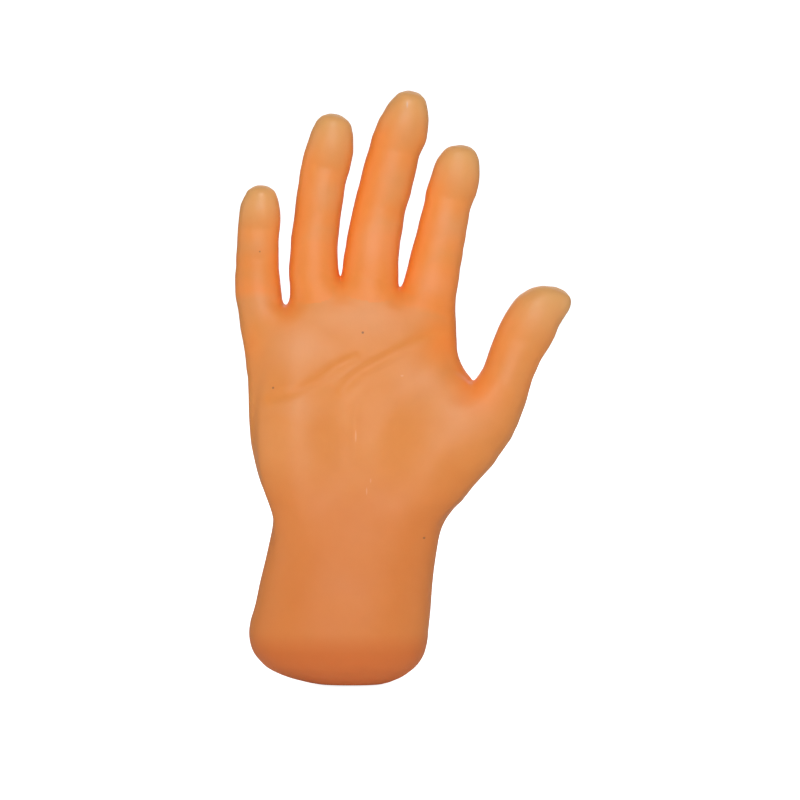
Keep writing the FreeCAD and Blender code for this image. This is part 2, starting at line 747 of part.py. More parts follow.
def add_fork(body, length, width, radius, block_top):
    half_slot = dim("tongue_w") / 2 + dim("side_gap")
    pad(body, circle(new_sketch(body, "YZ"), radius, 0.0, length), width, symmetric=True)
    pad(body, rectangle(new_sketch(body, "YZ"), -radius, radius, block_top - 0.5, length),
        width, symmetric=True)
    pocket(body, rectangle(
        new_sketch(body, "XZ"), -half_slot, half_slot,
        length - radius - dim("end_gap"), length + radius + 1.0))
    pocket(body, circle(new_sketch(body, "YZ"), dim("pin_radius") + PRESS_FIT, 0.0, length))


def hinge_pin(node, digit, point, width):
    across = digit_axes(digit)[1]
    body = new_body(node)
    pad(body, circle(new_sketch(body, "XY"), dim("pin_radius")), width - PIN_SHORT)
    start = point - across * (width.number / 2 - PIN_SHORT / 2)
    body.Placement = frame_of(start, across, DEPTH)
    keep(body, node)


def finger_links(name):
    distal, middle, _ = (digit_point(name, station) for station in FINGERS[name]["hinges"])
    width, radius = dim(f"{name}_fork_w"), dim(f"{name}_hinge_r")
    distal_width, distal_radius = dim(f"{name}_distal_fork_w"), dim(f"{name}_distal_hinge_r")
    link(f"proximal_link_{name}", width, radius, radius)
    hinge_pin(f"middle_pin_{name}", name, middle, width)
    link(f"middle_link_{name}", distal_width, distal_radius, radius)
    hinge_pin(f"distal_pin_{name}", name, distal, distal_width)
    link(f"distal_link_{name}", distal_width, distal_radius, distal_radius)


for name in FINGERS:
    finger_links(name)

# ================================================================ thumb
BASE_POINT = Vector(56.4, size("thumb_axis_y"), 138.97)  # a point on the base axis
BASE_ALONG, BASE_ACROSS = lean_axes(size("thumb_lean"))
# heights (z) of stations on the base axis
BARREL_Z = (100.0, 115.0)
LUGS_Z = ((92.5, 99.4), (115.6, 122.5))
THUMB_DISCS_Z = (99.47, 115.07)
PIVOT_PIN_Z = (92.0, 123.5)
BORE_Z = 80.0  # the bore's cutting tool starts here
LUG_ROOM_Z = (84.0, 99.95, 115.05)  # lower room from and to, upper room from

TIP_HINGE = digit_point("thumb", THUMB["hinge"])
THUMB_ALONG, THUMB_ACROSS = digit_axes("thumb")
TIP_HINGE_FRAME = frame_of(TIP_HINGE, THUMB_ALONG, THUMB_ACROSS)


def on_axis(z):
    return BASE_POINT + BASE_ALONG * ((z - BASE_POINT.z) / BASE_ALONG.z)


def axis_length(z0, z1):
    return (on_axis(z1) - on_axis(z0)).Length


def on_base(point):
    """Placement with Z along the thumb's base axis."""
    return frame_of(point, BASE_ALONG, WIDTH)


def thumb_bracket():
    """Two lugs on the base axis, joined by a strap that laps the palm frame."""
    arm_reach, strap_width, strap_reach = 14.0, 16.0, 23.0
    strap_t = dim("frame_front_y") - dim("thumb_axis_y")
    parts = []
    for z0, z1 in LUGS_Z:
        start, height = on_axis(z0), axis_length(z0, z1)
        parts.append(cylinder("lug", dim("barrel_r"), height, on_base(start)))
        parts.append(box("arm", arm_reach, strap_t, height,
                         on_base(start - BASE_ACROSS * arm_reach)))
    bottom, top = LUGS_Z[0][0], LUGS_Z[1][1]
    parts.append(box("strap", strap_width, strap_t, axis_length(bottom, top),
                     on_base(on_axis(bottom) - BASE_ACROSS * strap_reach)))
    solid = fuse("thumb_bracket_solid", parts)
    tools = [cylinder("bore", dim("thumb_pin_r") + PRESS_FIT, 60.0, on_base(on_axis(BORE_Z)))]
    turn = Rotation(WIDTH, -90)  # local Z to +Y
    for x, z in THUMB_SCREWS:
        place = Placement(Vector(x, -12.0, z), turn)
        tools.append(cylinder("hole", dim("screw_hole_r"), 30.0, place))
    keep(cut("thumb_bracket", solid, fuse("thumb_bracket_tools", tools)), "thumb_bracket")


def thumb_pivot_pin():
    """Pin on the base axis with a head at its lower end."""
    head_t, head_lip = 1.2, 1.4
    body = new_body("thumb_pivot_pin")
    pad(body, circle(new_sketch(body, "XY"), dim("thumb_pin_r")), axis_length(*PIVOT_PIN_Z))
    pad(body, circle(new_sketch(body, "XY", -head_t), dim("thumb_pin_r") + head_lip),
        head_t + 0.01)
    body.Placement = on_base(on_axis(PIVOT_PIN_Z[0]))
    keep(body, "thumb_pivot_pin")


def thumb_arm():
    """Barrel on the base axis, then a bar to a fork at the thumb's own hinge."""
    bar_width, bar_depth = 7.6, 6.6
    fork_root = 8.0  # length of fork below its round end
    width, radius = THUMB["fork_w"], THUMB["hinge_r"]
    sideways = Rotation(DEPTH, 90)  # local Z to the hinge axis
    fork = TIP_HINGE_FRAME

    barrel_start = on_axis(BARREL_Z[0])
    barrel_middle = (barrel_start + on_axis(BARREL_Z[1])) * 0.5
    bar_line = TIP_HINGE - THUMB_ALONG * (radius + 2.0) - barrel_middle
    bar_frame = frame_of(barrel_middle, bar_line, THUMB_ACROSS)
    solid = fuse("thumb_arm_solid", [
        cylinder("barrel", dim("barrel_r"), axis_length(*BARREL_Z), on_base(barrel_start)),
        box("bar", bar_width, bar_depth, bar_line.Length,
            local(bar_frame, -bar_width / 2, -bar_depth / 2, 0)),
        box("fork", width, 2 * radius, radius + fork_root,
            local(fork, -width / 2, -radius, -radius - fork_root)),
        cylinder("fork_end", radius, width, local(fork, -width / 2, 0, 0, sideways)),
    ])

    half_slot = size("tongue_w") / 2 + size("side_gap")
    tools = [
        cylinder("bore", dim("thumb_pin_r") + dim("run_gap"), 60.0, on_base(on_axis(BORE_Z))),
        box("slot", 2 * half_slot, 30.0, radius * 2 + 4.0,
            local(fork, -half_slot, -15.0, -radius - size("end_gap"))),
        cylinder("pin_hole", dim("pin_radius") + PRESS_FIT, 40.0,
                 local(fork, -20.0, 0, 0, sideways)),
    ]
    # the fork's long edges are turned down to stay clear of the glove
    edge_radius = math.hypot(width / 2, radius) - 1.3
    edge_len = radius * 2 + 14.0
    tools.append(cut(
        "fork_edges",
        cylinder("turn_out", edge_radius + 8.0, edge_len, local(fork, 0, 0, -radius - 9.0)),
        cylinder("turn_in", edge_radius, edge_len + 2.0, local(fork, 0, 0, -radius - 10.0)),
    ))
    # nothing of the arm beside the lugs
    low, low_top, high = LUG_ROOM_Z
    for z, height in ((low, axis_length(low, low_top)), (high, 20.0)):
        tools.append(cylinder("lug_room", dim("barrel_r") + 0.6, height, on_base(on_axis(z))))
    keep(cut("thumb_arm", solid, fuse("thumb_arm_tools", tools)), "thumb_arm")


thumb_bracket()
group("thumb_bracket_screws", [palm_screw(x, z, size("thumb_axis_y")) for x, z in THUMB_SCREWS])
thumb_pivot_pin()
group("thumb_friction_discs", [
    friction_disc(on_axis(z), BASE_ALONG, WIDTH, dim("barrel_r") - 0.5, size("thumb_pin_r"))
    for z in THUMB_DISCS_Z
])
thumb_arm()
hinge_pin("thumb_pin", "thumb", TIP_HINGE, dim("thumb_fork_w"))
link("thumb_tip_link", dim("thumb_fork_w"), dim("thumb_hinge_r"), dim("thumb_hinge_r"))

# ================================================================ glove
WALL = size("wall_glove")
TIP_STATIONS = [TIP_STATION, 1.5, 4, 8.5, 15.0]
INNER_TIP_STATIONS = [WALL + 0.6, 4.5, 9.0, 15.0]
FINGER_STATIONS = [23.0, 31.0, 39.0, 47.0, 55.0, 63.0, 71.0]
THENAR_STATIONS = [23.0, 31.0, 39.0, 47.0, 55.0, 63.0, 71.0, 79.0, 87.0, 94.0]
INNER_THENAR_STATIONS = [20.0, 31.0, 39.0, 47.0, 55.0, 63.0, 71.0, 79.0, 86.0, 91.0]
KNUCKLE_EXTEND = 10.0  # backward swing allowed at a hinge, degrees
THUMB_EXTEND = 10.0
FOLD_FLEX = 50.0  # swing of the thumb across the palm, degrees


def section(centre, across, left, right, half_depth, power=2.25, count=16):
    """Closed superellipse across a digit or the palm."""
    middle, half_width = (right - left) / 2, (right + left) / 2
    points = []
    for i in range(count):
        angle = 2 * math.pi * i / count
        cosine, sine = math.cos(angle), math.sin(angle)
        x = abs(cosine) ** (2 / power) * (1 if cosine >= 0 else -1)
        y = abs(sine) ** (2 / power) * (1 if sine >= 0 else -1)
        points.append(centre + across * (middle + half_width * x) + DEPTH * (half_depth * y))
    curve = Part.BSplineCurve()
    curve.interpolate(points, PeriodicFlag=True)
    return Part.Wire([curve.toShape()])


def digit_loft(digit, stations, inset=0.0):
    across = digit_axes(digit)[1]
    wires = [
        section(digit_point(digit, station), across,
                interpolate(BREADTH[digit], station, 1) - inset,
                interpolate(BREADTH[digit], station, 2) - inset,
                half_thickness(digit, station) - inset)
        for station in stations
    ]
    return Part.makeLoft(wires, True, False)


def palm_loft(inset=0.0):
    """Palm and wrist; an inset one is also drawn in at both ends."""
    wires = []
    for z, left, right, half_depth, centre_y in PALM:
        if inset and (z < 2.0 or z > 165.0):
            continue
        section_z = z
        if inset and z < 20:
            section_z = z + inset * (1 - z / 20)
        if inset and z > 160:
            section_z = z - inset
        drawn_in = inset * (1.25 if z < 12 else 1.0)
        half_width = (right - left) / 2 - drawn_in
        wires.append(section(
            Vector((left + right) / 2, centre_y, section_z), WIDTH,
            half_width, half_width, half_depth - drawn_in, power=2.45, count=20))
    return Part.makeLoft(wires, True, False)


def hinge_profile(side, flex, extend, reach, far, gap=0.25, extend_spare=0.8):
    """(y, z) outline of the space above (side 1) or below (side -1) a hinge at the origin,
    sloped so that it can close by flex on the palm side and extend on the back."""
    palm_slope = math.tan(math.radians(flex / 2 + 1.0))
    back_slope = math.tan(math.radians(extend / 2 + extend_spare))
    return [
        (-reach, side * (gap + reach * palm_slope)), (0.0, side * gap),
        (reach, side * (gap + reach * back_slope)), (reach, far), (-reach, far),
    ]


def extrude_points(points, direction):
    return Part.Face(Part.makePolygon(points + [points[0]])).extrude(direction)


def hinge_prism(place, profile, half_x):
    """Hinge profile carried to both sides. Local Z runs along the digit, X is the axis."""
    solid = extrude_points([Vector(0, y, z) for y, z in profile], Vector(2 * half_x, 0, 0))
    solid.translate(Vector(-half_x, 0, 0))
    solid.Placement = place.multiply(solid.Placement)
    return solid


def wedge(place, side, flex, extend):
    """All the space on one side of a hinge."""
    return hinge_prism(place, hinge_profile(side, flex, extend, 60.0, side * 400), 40.0)


def fold_wedge(side):
    """All the space on one side of the thumb's base axis: -1 palm, 1 thumb."""
    profile = hinge_profile(side, FOLD_FLEX, THUMB_EXTEND, 60.0, side * 300,
                            gap=0.3, extend_spare=1.0)
    start = BASE_POINT - BASE_ALONG * 250
    points = [start + DEPTH * y + BASE_ACROSS * z for y, z in profile]
    return extrude_points(points, BASE_ALONG * 500)


def shape_part(node, shape):
    """Keeps the largest solid of a shape."""
    feature = doc.addObject("Part::Feature", node)
    feature.Shape = max(shape.Solids, key=lambda solid: solid.Volume)
    keep(feature, node)


def knuckle_frame(name):
    return frame_of(knuckle_point(name), *digit_axes(name))


def finger_glove(name):
    finger = FINGERS[name]
    across = digit_axes(name)[1]
    knuckle_station = finger["hinges"][2]
    distal, middle, knuckle = (digit_point(name, station) for station in finger["hinges"])
    distal_flex, middle_flex, knuckle_flex = finger["flex"]
    shaft = [station for station in FINGER_STATIONS if station < knuckle_station - 3]
    shaft += [knuckle_station + 2.0, knuckle_station + 14.0]
    outer = digit_loft(name, TIP_STATIONS + shaft)
    inner = digit_loft(name, INNER_TIP_STATIONS + shaft, inset=WALL)
    shell = outer.cut(inner)

    def hinge_frame(point, before, after):
        """Frame with Z along the mean direction of the two links at a hinge."""
        mean = (point - before).normalize() + (after - point).normalize()
        return frame_of(point, mean, across)

    middle_frame = hinge_frame(middle, knuckle, distal)
    distal_frame = hinge_frame(distal, middle, digit_point(name, TIP_STATION))
    proximal_part = shell.common(wedge(knuckle_frame(name), 1, knuckle_flex, KNUCKLE_EXTEND))
    proximal_part = proximal_part.common(wedge(middle_frame, -1, middle_flex, 0.0))
    middle_part = shell.common(wedge(middle_frame, 1, middle_flex, 0.0))
    middle_part = middle_part.common(wedge(distal_frame, -1, distal_flex, 0.0))
    shape_part(f"glove_proximal_{name}", proximal_part)
    shape_part(f"glove_middle_{name}", middle_part)
    shape_part(f"glove_tip_{name}", shell.common(wedge(distal_frame, 1, distal_flex, 0.0)))


def stub(name, inset=0.0):
    """Lower end of a finger, below its knuckle, that joins the palm."""
    finger = FINGERS[name]
    knuckle, length = finger["hinges"][2], finger["stub"]
    stations = [knuckle - 14.0, knuckle - 4.0, knuckle + 6.0,
                knuckle + length * 0.6, knuckle + length]
    body = digit_loft(name, stations, inset=inset)
    return body.common(wedge(knuckle_frame(name), -1, finger["flex"][2], KNUCKLE_EXTEND))


def palm_shell():
    """Hollow palm with the finger stubs and the root of the thumb, in one piece."""
    little_profile = hinge_profile(
        -1, FINGERS["little"]["flex"][2], KNUCKLE_EXTEND, reach=20.0, far=20.0)
    little_relief = hinge_prism(knuckle_frame("little"), little_profile, 13.0)
    thenar = digit_loft("thumb", THENAR_STATIONS)
    thenar_inside = digit_loft("thumb", INNER_THENAR_STATIONS, inset=WALL)
    whole = palm_loft().cut(little_relief).multiFuse([stub(name) for name in FINGERS] + [thenar])
    hollow = palm_loft(WALL).multiFuse([stub(name, WALL) for name in FINGERS] + [thenar_inside])
    return whole.cut(hollow)


def palm_and_thumb_glove():
    shell = palm_shell()
    mouth = Part.makeCylinder(size("hub_nose_r") + 1.0, 12.0, Vector(0, 0, -5.0))
    below_tip = wedge(TIP_HINGE_FRAME, -1, THUMB["flex"], THUMB_EXTEND)
    above_tip = wedge(TIP_HINGE_FRAME, 1, THUMB["flex"], THUMB_EXTEND)
    shape_part("glove_palm", shell.common(fold_wedge(-1)).cut(mouth))
    shape_part("glove_thenar", shell.common(fold_wedge(1)).common(below_tip))
    outer = digit_loft("thumb", TIP_STATIONS + [23.0, 31.0, 39.0])
    inner = digit_loft("thumb", INNER_TIP_STATIONS + [23.0, 31.0, 40.0], inset=WALL)
    shape_part("glove_tip_thumb", outer.cut(inner).common(above_tip))


def foam_pads():
    """Pads that fill the palm in front of and behind the frame, clear of the thumb."""
    core = palm_loft(WALL + 0.5)
    thumb_clear = fold_wedge(-1)
    thumb_clear.translate(Vector(-13.0, 0, 0))
    # (node, front y, back y, bottom z, top z)
    for node, y0, y1, z0, z1 in (
        ("palm_pad", -30.0, -9.2, 60.0, 146.0),
        ("back_pad", 6.3, 30.0, 60.0, 150.0),
    ):
        slab = Part.makeBox(160, y1 - y0, z1 - z0, Vector(-80, y0, z0))
        shape_part(node, core.common(slab).common(thumb_clear))


for name in FINGERS:
    finger_glove(name)
palm_and_thumb_glove()
foam_pads()

# ================================================================ check and write
doc.recompute()
for obj in doc.Objects:
    if any(state in ("Invalid", "Error") for state in obj.State):
        raise RuntimeError(f"{obj.Label} is {obj.State}")
for node, obj in PARTS.items():
    shape = obj.Shape
    if shape.isNull() or not shape.isValid():
        raise RuntimeError(f"{node} has no valid shape")
    if not shape.Solids or any(solid.Volume <= 0 for solid in shape.Solids):
        raise RuntimeError(f"{node} has no solid")
for old in os.listdir("parts"):
    if old.endswith(".step"):
        os.remove(os.path.join("parts", old))
for node, obj in PARTS.items():
    obj.Shape.exportStep(f"parts/{node}.step")
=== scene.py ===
"""A passive right hand in a soft, skin-toned glove, built over its CAD frame.

The wrist stands at the origin and the fingers point up +Z. The palm faces -Y, the back of the
hand +Y, and the thumb is on the +X side. The glove is shaped in millimetres as one continuous
skin, then parted between the hinges.
"""
import json
import math
from functools import reduce

import bpy
import numpy as np
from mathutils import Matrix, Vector


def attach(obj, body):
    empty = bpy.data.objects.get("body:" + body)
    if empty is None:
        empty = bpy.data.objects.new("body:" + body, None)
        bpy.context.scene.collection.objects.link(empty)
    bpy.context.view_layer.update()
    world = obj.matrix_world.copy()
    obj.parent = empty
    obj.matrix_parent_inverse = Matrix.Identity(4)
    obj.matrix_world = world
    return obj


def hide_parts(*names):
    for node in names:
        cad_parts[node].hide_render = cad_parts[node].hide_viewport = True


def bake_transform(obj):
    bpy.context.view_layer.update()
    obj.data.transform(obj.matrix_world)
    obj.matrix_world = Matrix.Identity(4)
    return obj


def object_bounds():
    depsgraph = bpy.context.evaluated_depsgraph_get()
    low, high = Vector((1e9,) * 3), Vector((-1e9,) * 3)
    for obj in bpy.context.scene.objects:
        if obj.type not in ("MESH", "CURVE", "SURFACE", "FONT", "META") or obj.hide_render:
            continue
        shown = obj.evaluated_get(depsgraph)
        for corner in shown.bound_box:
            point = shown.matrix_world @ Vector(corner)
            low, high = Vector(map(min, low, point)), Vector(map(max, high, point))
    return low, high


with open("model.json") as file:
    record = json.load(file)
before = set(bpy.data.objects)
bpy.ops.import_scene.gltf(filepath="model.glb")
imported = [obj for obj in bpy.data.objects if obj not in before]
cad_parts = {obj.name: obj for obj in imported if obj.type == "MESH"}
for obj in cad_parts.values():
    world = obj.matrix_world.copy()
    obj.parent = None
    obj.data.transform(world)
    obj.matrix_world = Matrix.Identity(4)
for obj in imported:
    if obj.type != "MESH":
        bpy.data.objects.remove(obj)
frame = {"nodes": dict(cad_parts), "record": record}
cad_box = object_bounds()

MM = 0.001  # metres in a millimetre
SKIN_SPACING, QUICK_SPACING = 0.8, 1.25  # grid spacing of the skin
SKIN_LOW, SKIN_HIGH = (-54.0, -30.3, -3.0), (104.0, 30.0, 259.0)
WALL = 1.9
FOAM_SPACING = 2.0
FOAM_LOW, FOAM_HIGH = (-48.0, -24.0, 54.0), (60.0, 24.0, 158.0)
FOAM_BOTTOM = 61.0
FOAM_SINK = 3.2  # foam surface below the outer skin
MOUTH_RADIUS = 8.4  # round opening for the hub, in the underside of the wrist
KNUCKLE_Y = 1.0
THUMB_START, THUMB_MIDDLE = -0.95, 6.0  # where the thumb's end begins, along and across its axis


# ------------------------------------------------------------------ curves and falloffs
def unit(value):
    return np.clip(value, 0, 1)


def ease(value):
    """Smooth step from 0 to 1."""
    value = unit(value)
    return value * value * (3 - 2 * value)


def bell(value):
    return np.exp(-value**2 / 2)


def spot(x, z, x0, z0, width_x, width_z):
    """Two-dimensional bell around (x0, z0)."""
    return np.exp(-(((x - x0) / width_x) ** 2 + ((z - z0) / width_z) ** 2) / 2)


def pchip(x, y, at):
    """Monotone cubic through (x, y), flat outside."""
    x, y = np.asarray(x, float), np.asarray(y, float)
    step = np.diff(x)
    rise = np.diff(y) / step
    slope = np.zeros_like(y)
    slope[0], slope[-1] = rise[0], rise[-1]
    for i in range(1, len(x) - 1):
        if rise[i - 1] * rise[i] > 0:
            w1, w2 = 2 * step[i] + step[i - 1], step[i] + 2 * step[i - 1]
            slope[i] = (w1 + w2) / (w1 / rise[i - 1] + w2 / rise[i])
    at = np.clip(at, x[0], x[-1])
    k = np.clip(np.searchsorted(x, at, side="right") - 1, 0, len(x) - 2)
    t = (at - x[k]) / step[k]
    return ((2 * t**3 - 3 * t**2 + 1) * y[k] + (t**3 - 2 * t**2 + t) * step[k] * slope[k]
            + (3 * t**2 - 2 * t**3) * y[k + 1] + (t**3 - t**2) * step[k] * slope[k + 1])


class Curve:
    """A table sampled densely, then read by linear interpolation.

    root=True interpolates squares, for round ends; smooth is a smoothing length.
    """

    def __init__(self, x, y, root=False, smooth=0.0):
        x, y = np.asarray(x, float), np.asarray(y, float)
        count = max(64, int((x[-1] - x[0]) / 0.05))
        self.x = np.linspace(x[0], x[-1], count)
        if root:
            self.y = np.sqrt(np.maximum(pchip(x, y * y, self.x), 0))
        else:
            self.y = pchip(x, y, self.x)
        if smooth:
            kernel = np.hanning(2 * int(smooth / (self.x[1] - self.x[0])) + 3)
            kernel /= kernel.sum()
            pad = len(kernel) // 2
            before = 2 * self.y[0] - self.y[pad:0:-1]
            after = 2 * self.y[-1] - self.y[-2:-pad - 2:-1]
            self.y = np.convolve(np.concatenate([before, self.y, after]), kernel, mode="valid")

    def __call__(self, at):
        return np.interp(at, self.x, self.y)


def round_end(x, y, smooth, start, span, fade=unit):
    """Curve with a round first end, going over to its smoothed self past start."""
    curve = Curve(x, y, root=True)
    smoothed = Curve(x, y, root=True, smooth=smooth)
    weight = fade((curve.x - start) / span)
    curve.y = curve.y * (1 - weight) + smoothed.y * weight
    return curve


def digit_breadth(x, y):
    return round_end(x, y, smooth=2.2, start=4.0, span=4.5, fade=ease)


# ------------------------------------------------------------------ digits
# Rows: place back from the tip, half-breadth on the -X side, half-breadth on the +X side.
OUTLINES = {
    "little": [
        (0.3, 1.9, 3.25), (0.8, 3.2, 5.05), (1.5, 3.9, 5.8), (2.5, 5.15, 6.8), (4, 5.85, 7.55),
        (6, 6.9, 8.3), (8.5, 7.95, 8.8), (11.5, 8.4, 9.3), (15, 8.7, 9.4), (19, 9.05, 9.1),
        (23, 9.15, 8.75), (27, 9.25, 8.85), (31, 9.55, 8.95), (35, 9.45, 9.1), (39, 9.8, 9.65),
        (43, 9.65, 10.15), (47, 9.45, 10.7), (51, 8.7, 10.9), (55, 7.5, 10.8), (59, 6.0, 10.4),
        (63, 4.6, 9.6), (67, 3.4, 8.6), (78, 1.5, 5.5)],
    "ring": [
        (0.3, 2.35, 4.1), (0.8, 3.25, 5.3), (1.5, 4.4, 6.25), (2.5, 5.25, 7.65), (4, 6.35, 8.75),
        (6, 7.1, 9.5), (8.5, 8.0, 10.3), (11.5, 8.55, 10.7), (15, 9.25, 11.2), (19, 9.95, 10.95),
        (23, 10.25, 10.65), (27, 10.5, 9.9), (31, 10.4, 9.65), (35, 10.55, 9.75),
        (39, 10.55, 9.65), (43, 10.4, 9.6), (47, 10.3, 9.75), (51, 10.35, 9.9), (55, 10.4, 10.05),
        (59, 9.95, 10.6), (63, 9.7, 11.35), (67, 9.55, 12.3), (71, 9.0, 13.2), (75, 8.0, 13.6),
        (79, 7.4, 13.6), (83, 7.0, 13.4), (95, 6.5, 12.0)],
    "middle": [
        (0.3, 1.4, 5.1), (0.8, 2.05, 6.45), (1.5, 2.95, 7.2), (2.5, 4.15, 8.25), (4, 5.1, 9.1),
        (6, 6.35, 10.0), (8.5, 7.5, 11.0), (11.5, 8.35, 11.7), (15, 9.6, 12.15),
        (19, 10.15, 12.45), (23, 10.8, 11.65), (27, 10.85, 10.9), (31, 11.2, 11.1),
        (35, 11.5, 11.1), (39, 11.55, 11.0), (43, 11.55, 11.05), (47, 11.8, 10.65),
        (51, 11.85, 10.45), (55, 11.85, 10.75), (59, 11.8, 11.15), (63, 11.75, 11.25),
        (67, 11.65, 11.75), (71, 11.25, 12.25), (75, 11.15, 13.15), (79, 10.65, 14.1),
        (83, 10.2, 14.8), (88, 9.6, 15.2), (100, 9.0, 14.0)],
    "index": [
        (0.3, 1.4, 4.7), (0.8, 2.6, 5.45), (1.5, 4.45, 6.4), (2.5, 5.8, 7.15), (4, 7.1, 8.25),
        (6, 8.05, 9.15), (8.5, 9.15, 9.8), (11.5, 9.7, 10.5), (15, 9.95, 10.85), (19, 10.35, 10.8),
        (23, 10.7, 10.1), (27, 10.3, 9.7), (31, 10.45, 10.05), (35, 10.65, 10.15),
        (39, 10.65, 10.55), (43, 10.8, 10.6), (47, 11.05, 11.05), (51, 11.2, 11.1),
        (55, 11.2, 11.55), (59, 11.35, 11.85), (63, 11.55, 12.05), (67, 11.9, 12.55),
        (71, 12.0, 13.0), (75, 11.5, 13.9), (79, 11.0, 14.8), (83, 10.5, 15.6), (92, 10.0, 15.0)],
    "thumb": [
        (-0.75, -3.6, 8.3), (-0.45, -2.2, 9.3), (0.0, -0.7, 10.3), (0.4, 0.4, 10.9),
        (0.8, 1.4, 11.4), (1.5, 2.6, 12.0), (2.5, 4.05, 12.5), (4, 5.85, 12.9), (6, 7.35, 13.05),
        (8.5, 9.0, 12.65), (11.5, 10.15, 12.2), (15, 10.85, 11.85), (19, 11.45, 12.1),
        (23, 11.7, 11.85), (27, 11.65, 11.25), (31, 11.5, 10.7), (35, 11.3, 10.75),
        (39, 10.9, 10.75), (43, 10.65, 11.25), (47, 11.2, 11.9), (51, 12.4, 12.4),
        (55, 14.0, 12.6), (59, 16.5, 12.85), (63, 20.5, 12.8), (67, 22.0, 12.65),
        (71, 22.5, 11.8), (75, 22.0, 10.95), (79, 20.0, 10.35), (83, 17.0, 9.1), (88, 13.0, 7.3),
        (93, 9.0, 5.0), (98, 5.0, 2.0)],
}
# Rows: place back from the end, half-thickness.
FINGER_THICKNESS = [
    (0.0, 0.0), (0.3, 1.9), (0.8, 3.0), (1.5, 4.1), (2.5, 5.1), (4, 6.1), (6, 6.9), (8.5, 7.5),
    (12, 7.95), (16, 8.1), (23, 8.0), (31, 8.3), (43, 8.8), (59, 9.3), (80, 9.8), (110, 9.8)]
THUMB_THICKNESS = [
    (0.0, 0.0), (0.3, 1.9), (0.8, 3.0), (1.5, 4.1), (2.5, 5.1), (4, 6.2), (6, 7.0), (8.5, 7.7),
    (12, 8.3), (16, 8.6), (23, 8.7), (31, 8.9), (39, 9.5), (47, 10.5), (55, 12.2), (63, 13.6),
    (71, 14.6), (79, 14.4), (87, 12.5), (94, 8.5), (98, 5.0)]
# Rows: place back from the tip, y of the thumb's middle.
THUMB_Y = [(0.0, -8.2), (10, -7.4), (23, -6.0), (47, -3.6), (71, -3.0), (98, -1.0)]


class Digit:
    """A lofted digit: places run back from the tip, along an axis leaning towards +X.

    nail is half-length, half-width and place. Swells are (place, height, width), and creases
    (place, bow, depth). middle_y, left, right and thickness are curves over the place.
    """

    def __init__(self, outline, tip, lean, hinges, nail):
        lean = math.radians(lean)
        self.forward = (math.sin(lean), math.cos(lean))
        self.sideways = (math.cos(lean), -math.sin(lean))
        self.tip, self.hinges, self.nail = tip, hinges, nail
        self.end = outline[-1][0]

    def local(self, x, z):
        """Place along the axis, back from the tip, and offset across it, towards +X."""
        dx, dz = x - self.tip[0], z - self.tip[1]
        along = -(dx * self.forward[0] + dz * self.forward[1])
        return along, dx * self.sideways[0] + dz * self.sideways[1]

    def axis_point(self, along, y=0):
        forward = self.forward
        return (self.tip[0] - forward[0] * along, y, self.tip[1] - forward[1] * along)

    def nail_radius(self, along, across):
        """1 on the rim of the nail, less inside."""
        half_length, half_width, place = self.nail
        offset = across - (self.right(along) - self.left(along)) / 2
        length_part = (np.abs(along - place) / half_length) ** 2.6
        return (length_part + (np.abs(offset) / half_width) ** 2.6) ** (1 / 2.6)


class Finger(Digit):
    start = 0.0

    def __init__(self, outline, curl, thickness, **shape):
        super().__init__(outline, **shape)
        place, left, right = np.array(outline).T
        place = np.r_[0.0, place]
        self.left = digit_breadth(place, np.r_[0.0, left])
        self.right = digit_breadth(place, np.r_[0.0, right])
        place, half = np.array(FINGER_THICKNESS).T
        self.thickness = Curve(place, half * thickness, root=True)
        tip_hinge, mid_hinge, knuckle = self.hinges
        place = np.linspace(0, 120, 121)
        forward = curl * np.maximum(0, 1 - place / knuckle) ** 1.6
        self.middle_y = Curve(place, KNUCKLE_Y - forward, smooth=3)
        # pads between the hinges, then hollows at them
        self.front_swells = [
            (tip_hinge * 0.50, 0.55, tip_hinge * 0.30),
            ((tip_hinge + mid_hinge) / 2, 0.45, (mid_hinge - tip_hinge) * 0.28),
            ((mid_hinge + knuckle) / 2 + 1, 0.5, (knuckle - mid_hinge) * 0.30),
            (tip_hinge - 0.5, -0.32, 3.4), (mid_hinge, -0.32, 3.6), (knuckle + 4.0, -0.25, 3.4)]
        self.back_swells = [
            (mid_hinge, 0.45, 4.5), (tip_hinge, 0.2, 3.0), (tip_hinge * 0.45, -0.35, 5.0)]
        self.creases = [(tip_hinge, -0.6, 0.15), (mid_hinge - 1.2, -1, 0.12),
                        (mid_hinge + 1.6, -1, 0.12), (knuckle + 4.0, 0.4, 0.16)]


class Thumb(Digit):
    """Its end leans to one side, so half-breadth and middle line are interpolated apart."""
    start = THUMB_START

    def __init__(self, outline, **shape):
        super().__init__(outline, **shape)
        place, left, right = np.array(outline).T
        self.half = digit_breadth(np.r_[0.0, place - self.start], np.r_[0.0, (left + right) / 2])
        self.middle = Curve(
            np.r_[self.start, place], np.r_[THUMB_MIDDLE, (right - left) / 2], smooth=0.8)
        self.half_thickness = Curve(*np.array(THUMB_THICKNESS).T, root=True)
        self.middle_y = Curve(*np.array(THUMB_Y).T, smooth=4)
        hinge = self.hinges[0]
        self.front_swells = [(13.0, 0.8, 6.5), (40.0, 0.4, 7.0), (hinge, -0.5, 3.0)]
        self.back_swells = [(hinge, 0.35, 5.0), (10.0, -0.4, 5.5)]
        self.creases = [(hinge - 1.2, -1, 0.12), (hinge + 1.6, -1, 0.10), (49.0, 0, 0.12)]

    def left(self, along):
        return self.half(along - self.start) - self.middle(along)

    def right(self, along):
        return self.half(along - self.start) + self.middle(along)

    def thickness(self, along):
        return self.half_thickness(along - self.start)


